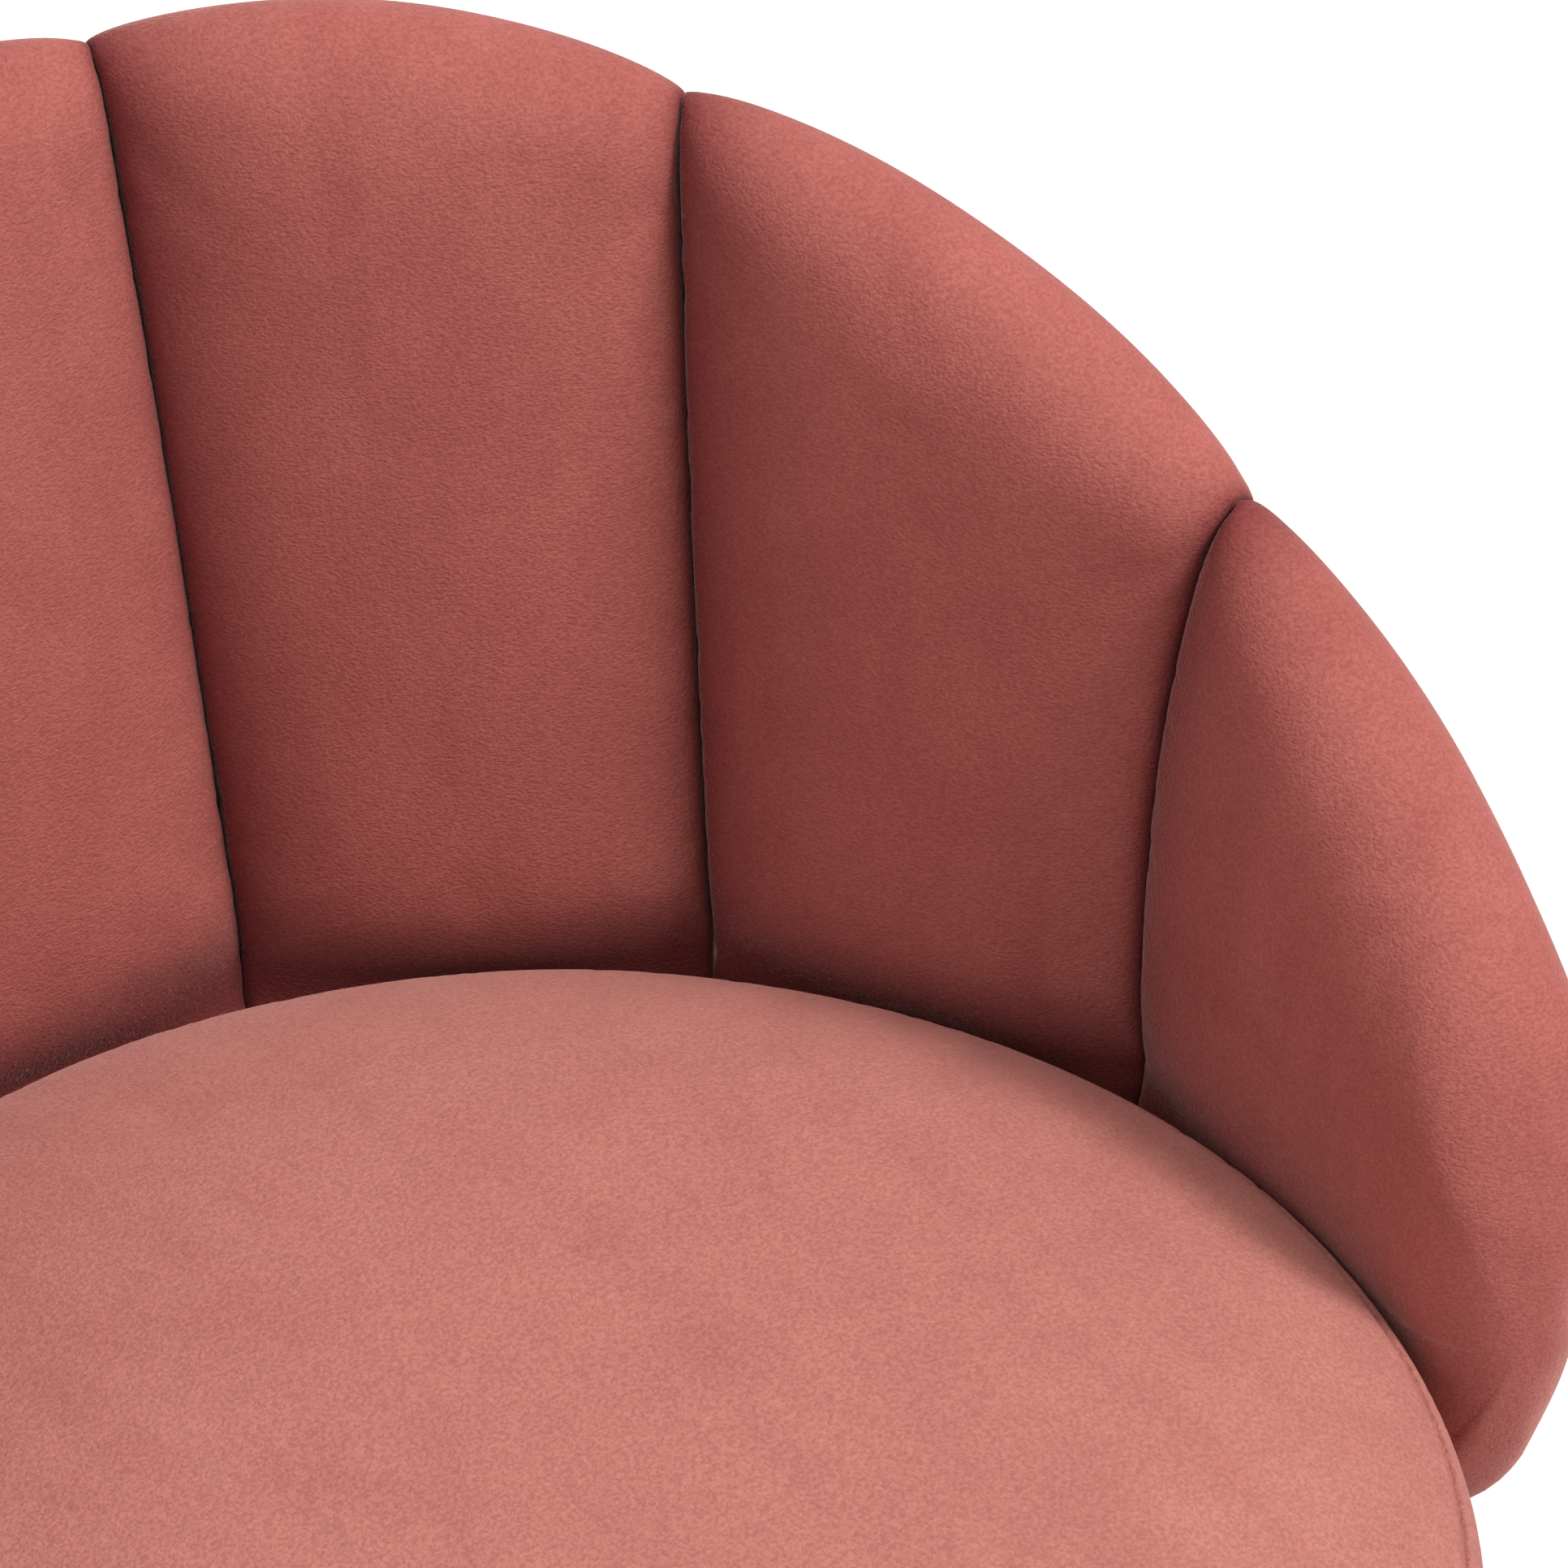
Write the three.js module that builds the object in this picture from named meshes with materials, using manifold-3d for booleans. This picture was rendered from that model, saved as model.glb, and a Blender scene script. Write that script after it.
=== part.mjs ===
// A swivel glider armchair: a round, domed seat on an upholstered drum, with a back
// and arms made of seven plump petals. Below the drum a carriage turns on a ball
// bearing, and four links let the whole chair glide forwards and backwards.
// Millimetres, +Z up, the chair faces -Y, the origin is on the swivel axis at the floor.

import * as THREE from 'three';
import { mergeVertices } from 'three/addons/utils/BufferGeometryUtils.js';
import Module from 'manifold-3d';

const wasm = await Module();
wasm.setup();

// ---- Driving dimensions --------------------------------------------------------

const GAP = 0.4;                  // left between two pieces that touch
const RUNNING_GAP = 0.5;          // all round a pin in its bush

const seat = {
  radius: 295,                    // widest, at the rim
  rimHeight: 425,                 // rim above the floor
  crown: 62,                      // rise of the dome above the rim
  fullness: 2.5,                  // how square the dome's shoulder is
  coverWall: 3,
  borderDrop: 83,                 // cover's side, from the rim down
};

const drum = {
  hoopInset: 23,                  // outside of the bent plywood hoop, in from the seat's rim
  hoopWall: 8,
  padding: 21,                    // foam and velvet outside the hoop
  bottomHeight: 112,
  coverTaper: 6,                  // the padding is this much thinner at the bottom
};

const petals = {
  count: 7,
  pitch: 30 * Math.PI / 180,      // angle of one petal about the seat's centre
  standOff: 43,                   // middle of the shell, out from the seat's rim
  flare: 0.117,                   // outward slope there
  flareGrowth: 0.00023,           // and how it grows with height
  lean: 0.097,                    // backward slope of the whole shell
  halfThickness: 32,              // at a petal's middle
  seamHalfThickness: 22,          // at a seam
  seamGap: 0.8,
  tuckDrop: 100,                  // the shell curves in to the drum over this drop
  tuckStandOff: 11,               // and ends this far outside the drum
  backDrop: 185,                  // lowest edge at the back, below the rim
  armDrop: 60,                    // and at the arms
  noseHalfThickness: 10,          // at an arm's front end
  topTurn: [0.2, 0.4, 0.6, 0.8],  // places round the half turn over a petal's top
};

// Height of the shell's middle line above the rim, at equal steps from the centre of
// the back to the front of an arm.
const crestHeights = [296, 288, 282, 260, 222, 175, 122, 69];

const plywood = {
  shellWall: 10,
  shellBelowCrest: 34,
  shellShort: 34,                 // its ends stop this far behind the arms' front ends
  board: 15,
  seatRing: 18,
  seatRingBore: 185,
};

const swivel = {
  matRadius: 240,
  matWall: 3,
  plateRadius: 250,
  plateWall: 10,
  spindleRadius: 10,
  nutRadius: 19,
  raceInner: 36,
  raceOuter: 64,
  raceWall: 8.7,
  ballRadius: 5.3,
  ballCount: 8,
};

const glide = {
  linkLength: 100,                // between the two pins of a link
  halfSpan: 130,                  // of the pins, forwards and backwards
  upperPinHeight: 165,
  swing: 32 * Math.PI / 180,      // each way
  pinRadius: 6,
  headRadius: 10,
  headWall: 2.5,
  bushWall: 3,
  linkWall: 8,
  linkEye: 16,                    // radius of a link's end
  sidePlate: 5,
  sidePlateAt: 136,               // inner face, from the middle
  linkAt: 149,
  hangerAt: 163.5,
  hangerWall: 6,
  hangerWidth: 40,
  railHeight: 18,
  railWidth: 30,
};

const carriage = { plateWall: 5, plateHalf: 70, crossHeight: 50, crossWidth: 26, crossAt: 88, sideHeight: 33 };
const stop = { tongueWall: 12, tongueWidth: 30, tongueAt: 75, bumperRadius: 10, play: 2.5 };
const spring = { count: 4, wire: 2, reach: 205, wave: 16, pitch: 42, spacing: 82 };
const bolt = { radius: 4, head: 8, headWall: 4, belowDrumTop: 42, reach: 6, angles: [-60, 0, 60] };

// ---- Sizes worked out from them ------------------------------------------------

const hoopRadius = seat.radius - drum.hoopInset;
const hoopInner = hoopRadius - drum.hoopWall;
const drumRadius = hoopRadius + drum.padding;
const widest = Math.max(seat.radius, drumRadius);
const ringRadius = widest + petals.standOff;
const tuckRadius = widest + petals.tuckStandOff;
const drumTop = seat.rimHeight - seat.borderDrop - GAP;
const seatRingTop = drumTop + 2;
const springHeight = seatRingTop + spring.wire + GAP;
const foamBottom = springHeight + spring.wire + GAP;
const hoopTop = foamBottom - GAP;
const boltHeight = drumTop - bolt.belowDrumTop;
const boltTip = tuckRadius - plywood.shellWall / 2 + bolt.reach;
const lowerPinHeight = glide.upperPinHeight - glide.linkLength;
const glideReach = glide.linkLength * Math.sin(glide.swing);
const pinHole = (glide.pinRadius + RUNNING_GAP) / Math.cos(Math.PI / 16);
const bushOuter = pinHole + glide.bushWall;
const linkHole = (bushOuter + GAP) / Math.cos(Math.PI / 16);

const plateBottom = swivel.matWall + GAP;
const plateTop = plateBottom + swivel.plateWall;
const lowerRaceBottom = plateTop + GAP;
const lowerRaceTop = lowerRaceBottom + swivel.raceWall;
const ballHeight = lowerRaceTop + swivel.ballRadius / 2;
const upperRaceBottom = ballHeight + swivel.ballRadius / 2;
const upperRaceTop = upperRaceBottom + swivel.raceWall;
const carriageBottom = upperRaceTop + GAP;
const carriagePlateTop = carriageBottom + carriage.plateWall;
const crossBottom = carriagePlateTop + GAP;
const railBottom = glide.upperPinHeight + glide.linkEye + 14;
const railTop = railBottom + glide.railHeight;
const boardBottom = railTop + GAP;

// ---- Solids --------------------------------------------------------------------

/** Makes a manifold solid from a closed three.js geometry. */
function toSolid(geometry) {
  const bare = geometry.clone();
  bare.deleteAttribute('normal');
  bare.deleteAttribute('uv');
  const merged = mergeVertices(bare, 1e-4);
  return new wasm.Manifold(new wasm.Mesh({
    numProp: 3,
    vertProperties: new Float32Array(merged.attributes.position.array),
    triVerts: new Uint32Array(merged.index.array),
  }));
}

/** Turns a manifold solid back into a geometry. */
function toGeometry(solid) {
  const mesh = solid.getMesh();
  const geometry = new THREE.BufferGeometry();
  geometry.setAttribute('position', new THREE.BufferAttribute(new Float32Array(mesh.vertProperties), 3));
  geometry.setIndex(new THREE.BufferAttribute(new Uint32Array(mesh.triVerts), 1));
  geometry.computeVertexNormals();
  return geometry;
}

/** Cuts a list of geometries from another. */
function cut(geometry, tools) {
  let solid = toSolid(geometry);
  for (const tool of tools) {
    solid = solid.subtract(toSolid(tool));
  }
  return toGeometry(solid);
}

/** Joins a list of geometries into one. */
function join(geometries) {
  let solid = toSolid(geometries[0]);
  for (const other of geometries.slice(1)) {
    solid = solid.add(toSolid(other));
  }
  return toGeometry(solid);
}

/** Turns a closed outline of [radius, height] points, counter-clockwise, about Z. */
function turned(outline, segments = 40) {
  const points = outline.map(([r, z]) => new THREE.Vector2(r, z));
  const first = points[0];
  if (first.x > 0) {
    points.push(first.clone());
  }
  return new THREE.LatheGeometry(points, segments).rotateX(Math.PI / 2);
}

/** A ring of rectangular section. */
function ring(inner, outer, bottom, top, segments) {
  return turned([[inner, bottom], [outer, bottom], [outer, top], [inner, top]], segments);
}

/** A round bar along X between two places. */
function barX(radius, fromX, toX, y, z, segments = 12) {
  const bar = new THREE.CylinderGeometry(radius, radius, Math.abs(toX - fromX), segments);
  return bar.rotateZ(Math.PI / 2).translate((fromX + toX) / 2, y, z);
}

/** A box between two corners. */
function block(low, high) {
  const size = high.map((value, i) => value - low[i]);
  const middle = high.map((value, i) => (value + low[i]) / 2);
  return new THREE.BoxGeometry(...size).translate(...middle);
}

/** A flat plate standing in the YZ plane, from its outline and round holes. */
function plateYZ(shape, holes, fromX, wall) {
  for (const [y, z, radius] of holes) {
    const hole = new THREE.Path();
    hole.absarc(y, z, radius, 0, 2 * Math.PI);
    shape.holes.push(hole);
  }
  const plate = new THREE.ExtrudeGeometry(shape, { depth: wall, bevelEnabled: false, curveSegments: 8 });
  const turn = new THREE.Matrix4().makeBasis(
    new THREE.Vector3(0, 1, 0), new THREE.Vector3(0, 0, 1), new THREE.Vector3(1, 0, 0));
  return plate.applyMatrix4(turn).translate(fromX, 0, 0);
}

// ---- The shell of petals -------------------------------------------------------

/** Height of the shell's middle line above the rim, at an angle from the back's centre. */
function crestAt(angle) {
  const halfWrap = petals.count * petals.pitch / 2;
  const place = Math.min(Math.abs(angle) / halfWrap, 1) * (crestHeights.length - 1);
  const index = Math.min(Math.floor(place), crestHeights.length - 2);
  return THREE.MathUtils.lerp(crestHeights[index], crestHeights[index + 1], place - index);
}

/** Lowest edge of the shell, as a height from the rim, at an angle from the back's centre. */
function hemAt(angle) {
  const share = Math.min(Math.abs(angle) / (1.5 * Math.PI / 3.2), 1);
  return -THREE.MathUtils.lerp(petals.backDrop, petals.armDrop, share ** 4);
}

/** Radius and slope of the shell's middle surface at a height from the rim. */
function ringAt(height) {
  if (height >= 0) {
    const radius = ringRadius + petals.flare * height + petals.flareGrowth * height ** 2;
    return { radius, slope: petals.flare + 2 * petals.flareGrowth * height };
  }
  const t = Math.min(-height / petals.tuckDrop, 1);
  const start = ringRadius * (2 * t ** 3 - 3 * t ** 2 + 1);
  const lead = -petals.flare * petals.tuckDrop * (t ** 3 - 2 * t ** 2 + t);
  const end = tuckRadius * (3 * t ** 2 - 2 * t ** 3);
  const drop = (ringRadius - tuckRadius) * 6 * (t - t ** 2) / petals.tuckDrop;
  const slope = t < 1 ? drop + petals.flare * (3 * t ** 2 - 4 * t + 1) : 0;
  return { radius: start + lead + end, slope };
}

/** Closed section of the shell through a list of heights, as [radius, height from the rim] points. */
function sectionLoop(thicknessAt, heights, roundTop) {
  const inner = [];
  const outer = [];
  for (const height of heights) {
    const { radius, slope } = ringAt(height);
    const scale = 1 / Math.hypot(1, slope);
    const thickness = thicknessAt(height, radius);
    inner.push([radius - thickness * scale, height + thickness * slope * scale]);
    outer.push([radius + thickness * scale, height - thickness * slope * scale]);
  }
  const cap = [];
  if (roundTop) {
    const top = heights.at(-1);
    const { radius, slope } = ringAt(top);
    const lean = Math.atan(slope);
    const thickness = thicknessAt(top, radius);
    for (const share of petals.topTurn) {
      const turn = Math.PI - share * Math.PI - lean;
      cap.push([radius + thickness * Math.cos(turn), top + thickness * Math.sin(turn)]);
    }
  }
  return [...inner, ...cap, ...outer.reverse()];
}

/** Triangles that close one end of a loft, all turned the way that the sign says. */
function endCap(loop, firstIndex, sign) {
  const flat = loop.map(([radius, height]) => new THREE.Vector2(radius, height));
  return THREE.ShapeUtils.triangulateShape(flat, []).flatMap((corners) => {
    const [a, b, c] = corners.map((corner) => flat[corner]);
    const area = b.clone().sub(a).cross(c.clone().sub(a));
    const facing = area * sign > 0 ? corners : [corners[0], corners[2], corners[1]];
    return facing.map((corner) => corner + firstIndex);
  });
}

/** Closed solid through sections that stand at a list of angles. */
function loft(angles, loopAt) {
  const loops = angles.map((angle) => loopAt(angle).map(([radius, height]) => [
    radius * Math.sin(angle),
    radius * Math.cos(angle) + petals.lean * Math.max(height, 0),
    seat.rimHeight + height,
  ]));
  const size = loops[0].length;
  const triangles = [];
  for (let i = 0; i + 1 < loops.length; i += 1) {
    for (let j = 0; j < size; j += 1) {
      const here = i * size + j;
      const next = i * size + (j + 1) % size;
      triangles.push(here, next + size, next, here, here + size, next + size);
    }
  }
  triangles.push(...endCap(loopAt(angles[0]), 0, -1));
  triangles.push(...endCap(loopAt(angles.at(-1)), (loops.length - 1) * size, 1));
  const geometry = new THREE.BufferGeometry();
  geometry.setAttribute('position', new THREE.Float32BufferAttribute(loops.flat(2), 3));
  geometry.setIndex(triangles);
  geometry.computeVertexNormals();
  return geometry;
}

/** Equal steps between two angles. */
function steps(from, to, count) {
  return Array.from({ length: count + 1 }, (unused, i) => THREE.MathUtils.lerp(from, to, i / count));
}

/** Half the thickness that leaves the drum clear, at a middle radius. */
function clearOfDrum(radius) {
  return radius - widest - 2 * GAP;
}

/** The plywood shell inside the petals, grown all round when it is used to cut them. */
function shellSolid(grow) {
  const reach = petals.count * petals.pitch / 2 - plywood.shellShort / ringRadius;
  const half = plywood.shellWall / 2 + grow;
  const angles = steps(-reach, reach, 28);
  angles[0] -= grow / tuckRadius;
  angles[28] += grow / tuckRadius;
  return loft(angles, (angle) => {
    const heights = steps(hemAt(angle), crestAt(angle) - plywood.shellBelowCrest, 8);
    if (grow > 0) {
      heights.unshift(heights[0] - 20);
      heights.push(heights.at(-1) + grow);
    }
    return sectionLoop(() => half, heights, false);
  });
}

/** One petal, before the plywood's slot is cut. */
function petalSolid(index) {
  const middle = (index - (petals.count - 1) / 2) * petals.pitch;
  const half = petals.pitch / 2 - petals.seamGap / 2 / (ringRadius + petals.flare * 100);
  const isArm = index === 0 || index === petals.count - 1;
  const side = Math.sign(middle);
  return loft(steps(middle - half, middle + half, 6), (angle) => {
    const across = (angle - middle) / half;
    const swell = Math.sqrt(Math.max(0, 1 - Math.abs(across) ** 2));
    const seamSide = !isArm || across * side < 0;
    const edge = seamSide ? petals.seamHalfThickness : petals.noseHalfThickness;
    const thickness = edge + (petals.halfThickness - edge) * swell;
    return sectionLoop((height, radius) => Math.min(thickness, clearOfDrum(radius)),
      steps(hemAt(angle) + GAP, crestAt(angle), 8), true);
  });
}

// ---- The scene -----------------------------------------------------------------

const looks = {
  velvet: { color: 0xa65a50, roughness: 0.9, metalness: 0 },
  foam: { color: 0xe8dfc4, roughness: 0.95, metalness: 0 },
  plywood: { color: 0xc9a273, roughness: 0.7, metalness: 0 },
  blackSteel: { color: 0x232326, roughness: 0.5, metalness: 0.3 },
  zincSteel: { color: 0xb9bcc0, roughness: 0.35, metalness: 0.9 },
  rubber: { color: 0x1b1b1c, roughness: 0.85, metalness: 0 },
  nylon: { color: 0xe9e6dc, roughness: 0.5, metalness: 0 },
};

const chair = new THREE.Group();

/** Adds one named piece to the chair. */
function add(name, geometry, look) {
  const mesh = new THREE.Mesh(geometry, new THREE.MeshStandardMaterial(looks[look]));
  mesh.name = name;
  chair.add(mesh);
}

/** The floor plate, the spindle and the lower race. */
function addBase() {
  const bore = swivel.spindleRadius + GAP;
  const chamfer = 3;
  add('floor_mat', turned([[0, 0], [swivel.matRadius, 0], [swivel.matRadius, swivel.matWall],
    [0, swivel.matWall]]), 'rubber');
  add('base_plate', turned([[0, plateBottom], [swivel.plateRadius - 2, plateBottom],
    [swivel.plateRadius, plateBottom + 2], [swivel.plateRadius, plateTop - chamfer],
    [swivel.plateRadius - chamfer, plateTop], [0, plateTop]]), 'blackSteel');
  add('bearing_lower_race', raceRing(lowerRaceBottom, lowerRaceTop, 1), 'zincSteel');
  const flange = swivel.raceInner - 6;
  const nutBottom = carriagePlateTop + 1;
  const nutTop = nutBottom + 12;
  add('spindle', turned([[0, lowerRaceBottom], [flange, lowerRaceBottom], [flange, lowerRaceTop - 3],
    [swivel.spindleRadius, lowerRaceTop - 1], [swivel.spindleRadius, nutTop + 4],
    [0, nutTop + 4]], 16), 'zincSteel');
  const nut = turned([[0, nutBottom], [swivel.nutRadius, nutBottom], [swivel.nutRadius, nutTop],
    [0, nutTop]], 6);
  add('spindle_nut', cut(nut, [plug(bore, nutBottom, nutTop)]), 'zincSteel');
}

/** What is cut away for a round upright bore between two heights. */
function plug(radius, bottom, top) {
  const segments = 16;
  const reach = radius / Math.cos(Math.PI / segments);
  return turned([[0, bottom - 1], [reach, bottom - 1], [reach, top + 1], [0, top + 1]], segments);
}

/** A bearing race with a V groove on its top (side 1) or its underside (side -1). */
function raceRing(bottom, top, side) {
  const middle = (swivel.raceInner + swivel.raceOuter) / 2;
  const grooveHalf = swivel.ballRadius + 1;
  const grooveDepth = 4.5;
  const inner = swivel.raceInner;
  const outer = swivel.raceOuter;
  if (side > 0) {
    return turned([[inner, bottom], [outer, bottom], [outer, top], [middle + grooveHalf, top],
      [middle, top - grooveDepth], [middle - grooveHalf, top], [inner, top]], 32);
  }
  return turned([[inner, bottom], [middle - grooveHalf, bottom], [middle, bottom + grooveDepth],
    [middle + grooveHalf, bottom], [outer, bottom], [outer, top], [inner, top]], 32);
}

/** The ring of balls between the two races. */
function addBalls() {
  const middle = (swivel.raceInner + swivel.raceOuter) / 2;
  const pieces = [ring(middle - 4, middle + 4, ballHeight - 1, ballHeight + 1, 24)];
  for (let i = 0; i < swivel.ballCount; i += 1) {
    const angle = 2 * Math.PI * i / swivel.ballCount;
    pieces.push(new THREE.SphereGeometry(swivel.ballRadius, 8, 5)
      .translate(middle * Math.cos(angle), middle * Math.sin(angle), ballHeight));
  }
  add('ball_cage', join(pieces), 'zincSteel');
}

/** The outline of a carriage side: a low bar with an ear over each pair of pins. */
function sideOutline() {
  const end = glide.halfSpan + glide.linkEye + 6;
  const ear = glide.linkEye + 4;
  const top = carriageBottom + carriage.sideHeight;
  const shape = new THREE.Shape();
  shape.moveTo(-end, carriageBottom);
  shape.lineTo(end, carriageBottom);
  shape.lineTo(glide.halfSpan + ear, top);
  shape.absarc(glide.halfSpan, glide.upperPinHeight, glide.linkEye, 0, Math.PI, false);
  shape.lineTo(glide.halfSpan - ear, top);
  shape.lineTo(-glide.halfSpan + ear, top);
  shape.absarc(-glide.halfSpan, glide.upperPinHeight, glide.linkEye, 0, Math.PI, false);
  shape.lineTo(-glide.halfSpan - ear, top);
  return shape;
}

/** The turning carriage: race, plate, crossbars, sides, upper pins and stops. */
function addCarriage() {
  const inside = glide.sidePlateAt - GAP;
  add('bearing_upper_race', raceRing(upperRaceBottom, upperRaceTop, -1), 'zincSteel');
  const half = carriage.crossAt + carriage.crossWidth / 2;
  const plate = block([-carriage.plateHalf, -half, carriageBottom], [carriage.plateHalf, half, carriagePlateTop]);
  const bore = swivel.spindleRadius + 1;
  add('carriage_plate', cut(plate, [plug(bore, carriageBottom, carriagePlateTop)]), 'blackSteel');
  for (const [name, side] of [['front', -1], ['rear', 1]]) {
    const near = side * (carriage.crossAt - carriage.crossWidth / 2);
    const far = side * (carriage.crossAt + carriage.crossWidth / 2);
    const crossTop = crossBottom + carriage.crossHeight;
    add(`carriage_cross_${name}`, block([-inside, Math.min(near, far), crossBottom],
      [inside, Math.max(near, far), crossTop]), 'blackSteel');
    const pinEnd = glide.linkAt + glide.linkWall + 1.6;
    const y = side * glide.halfSpan;
    const z = glide.upperPinHeight;
    add(`upper_pin_${name}`, join([
      barX(glide.pinRadius, -pinEnd - 1, pinEnd + 1, y, z),
      barX(glide.headRadius, -pinEnd - glide.headWall, -pinEnd, y, z),
      barX(glide.headRadius, pinEnd, pinEnd + glide.headWall, y, z),
    ]), 'zincSteel');
    const tip = side * (stop.tongueWall / 2 + glideReach + stop.play);
    const bumperEnd = near - side * GAP;
    const bumper = new THREE.CylinderGeometry(stop.bumperRadius, stop.bumperRadius,
      Math.abs(bumperEnd - tip), 14);
    add(`stop_bumper_${name}`, bumper.translate(stop.tongueAt, (tip + bumperEnd) / 2,
      crossTop - stop.bumperRadius - 3), 'rubber');
  }
  const pinHoles = [-1, 1].map((side) => [side * glide.halfSpan, glide.upperPinHeight, pinHole]);
  add('carriage_side_left', plateYZ(sideOutline(), pinHoles,
    -glide.sidePlateAt - glide.sidePlate, glide.sidePlate), 'blackSteel');
  add('carriage_side_right', plateYZ(sideOutline(), pinHoles, glide.sidePlateAt, glide.sidePlate), 'blackSteel');
}

/** A link's outline: two round eyes joined by a straight bar. */
function linkOutline(y) {
  const shape = new THREE.Shape();
  shape.absarc(y, glide.upperPinHeight, glide.linkEye, 0, Math.PI, false);
  shape.absarc(y, lowerPinHeight, glide.linkEye, Math.PI, 2 * Math.PI, false);
  return shape;
}

/** The four links with their bushes, and the hangers and pins that they carry. */
function addLinks() {
  for (const [end, front] of [['front', -1], ['rear', 1]]) {
    for (const [hand, side] of [['left', -1], ['right', 1]]) {
      const y = front * glide.halfSpan;
      const from = side > 0 ? glide.linkAt : -glide.linkAt - glide.linkWall;
      const eyes = [[y, glide.upperPinHeight, linkHole], [y, lowerPinHeight, linkHole]];
      add(`link_${end}_${hand}`, plateYZ(linkOutline(y), eyes, from, glide.linkWall), 'blackSteel');
      for (const [level, z] of [['upper', glide.upperPinHeight], ['lower', lowerPinHeight]]) {
        const bush = ring(pinHole, bushOuter, -glide.linkWall / 2 - 0.5, glide.linkWall / 2 + 0.5, 16);
        bush.rotateY(Math.PI / 2).translate(from + glide.linkWall / 2, y, z);
        add(`bush_${level}_${end}_${hand}`, bush, 'nylon');
      }
      const hangerFrom = side > 0 ? glide.hangerAt : -glide.hangerAt - glide.hangerWall;
      add(`hanger_${end}_${hand}`, plateYZ(hangerOutline(y), [[y, lowerPinHeight, pinHole]],
        hangerFrom, glide.hangerWall), 'blackSteel');
      const inEnd = side * (glide.linkAt - 1.2);
      const outEnd = side * (glide.hangerAt + glide.hangerWall + GAP);
      add(`lower_pin_${end}_${hand}`, join([
        barX(glide.pinRadius, inEnd - side, outEnd + side, y, lowerPinHeight),
        barX(glide.headRadius, inEnd - side * glide.headWall, inEnd, y, lowerPinHeight),
        barX(glide.headRadius, outEnd, outEnd + side * glide.headWall, y, lowerPinHeight),
      ]), 'zincSteel');
    }
  }
}

/** A hanger's outline: a strap that hangs from the rail to its pin. */
function hangerOutline(y) {
  const half = glide.hangerWidth / 2;
  const shape = new THREE.Shape();
  shape.moveTo(y + half, railBottom - GAP);
  shape.lineTo(y - half, railBottom - GAP);
  shape.absarc(y, lowerPinHeight, glide.linkEye, Math.PI, 2 * Math.PI, false);
  return shape;
}

/** A cylinder that points outwards from the middle, at an angle from the back's centre. */
function spoke(radius, from, to, angle, height, segments = 10) {
  const bar = new THREE.CylinderGeometry(radius, radius, to - from, segments);
  return bar.translate(0, (from + to) / 2, 0).rotateZ(-angle).translate(0, 0, height);
}

/** The plywood frame of the drum, its rails and its stop. */
function addFrame() {
  const railEnd = glide.hangerAt + glide.hangerWall;
  for (const [hand, side] of [['left', -1], ['right', 1]]) {
    const inner = side * (railEnd - glide.railWidth);
    const outer = side * railEnd;
    const reach = glide.halfSpan + glide.hangerWidth;
    add(`mount_rail_${hand}`, block([Math.min(inner, outer), -reach, railBottom],
      [Math.max(inner, outer), reach, railTop]), 'blackSteel');
  }
  const tongueBottom = crossBottom + carriage.crossHeight - 2 * stop.bumperRadius - 3;
  add('stop_tongue', block([stop.tongueAt - stop.tongueWidth / 2, -stop.tongueWall / 2, tongueBottom],
    [stop.tongueAt + stop.tongueWidth / 2, stop.tongueWall / 2, boardBottom - GAP]), 'blackSteel');
  add('base_board', turned([[0, boardBottom], [hoopInner - GAP, boardBottom],
    [hoopInner - GAP, boardBottom + plywood.board], [0, boardBottom + plywood.board]]), 'plywood');
  const holes = bolt.angles.map((degrees) => spoke(bolt.radius + GAP, hoopInner - 5,
    tuckRadius, THREE.MathUtils.degToRad(degrees), boltHeight));
  add('drum_hoop', cut(ring(hoopInner, hoopRadius, drum.bottomHeight + 6, hoopTop), holes), 'plywood');
  const inner = hoopRadius + GAP;
  const low = drumRadius - drum.coverTaper;
  const cover = turned([[inner, drum.bottomHeight], [low - 6, drum.bottomHeight], [low, drum.bottomHeight + 8],
    [drumRadius, (drum.bottomHeight + drumTop) / 2 + 30], [drumRadius, drumTop], [inner, drumTop]]);
  add('drum_cover', cut(cover, holes), 'velvet');
  add('seat_ring', ring(plywood.seatRingBore, hoopInner - GAP, seatRingTop - plywood.seatRing,
    seatRingTop), 'plywood');
  bolt.angles.forEach((degrees, i) => {
    const angle = THREE.MathUtils.degToRad(degrees);
    add(`shell_bolt_${['left', 'rear', 'right'][i]}`, join([
      spoke(bolt.radius, hoopInner - 2, boltTip, angle, boltHeight),
      spoke(bolt.head, hoopInner - GAP - 1 - bolt.headWall, hoopInner - GAP - 1, angle, boltHeight),
    ]), 'zincSteel');
  });
}

/** One sinuous spring across the seat ring. */
function springWire(x) {
  const waves = Math.round(2 * spring.reach / spring.pitch);
  const points = [new THREE.Vector3(x, -spring.reach, springHeight)];
  for (let i = 0; i < waves; i += 1) {
    const y = -spring.reach + (i + 0.5) * 2 * spring.reach / waves;
    const sway = spring.wave * (i % 2 ? 1 : -1);
    points.push(new THREE.Vector3(x + sway, y - spring.pitch / 5, springHeight));
    points.push(new THREE.Vector3(x + sway, y + spring.pitch / 5, springHeight));
  }
  points.push(new THREE.Vector3(x, spring.reach, springHeight));
  const section = new THREE.Shape();
  section.absarc(0, 0, spring.wire, 0, 2 * Math.PI);
  return new THREE.ExtrudeGeometry(section, {
    steps: 2 * waves, curveSegments: 3, bevelEnabled: false, extrudePath: new THREE.CatmullRomCurve3(points),
  });
}

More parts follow.
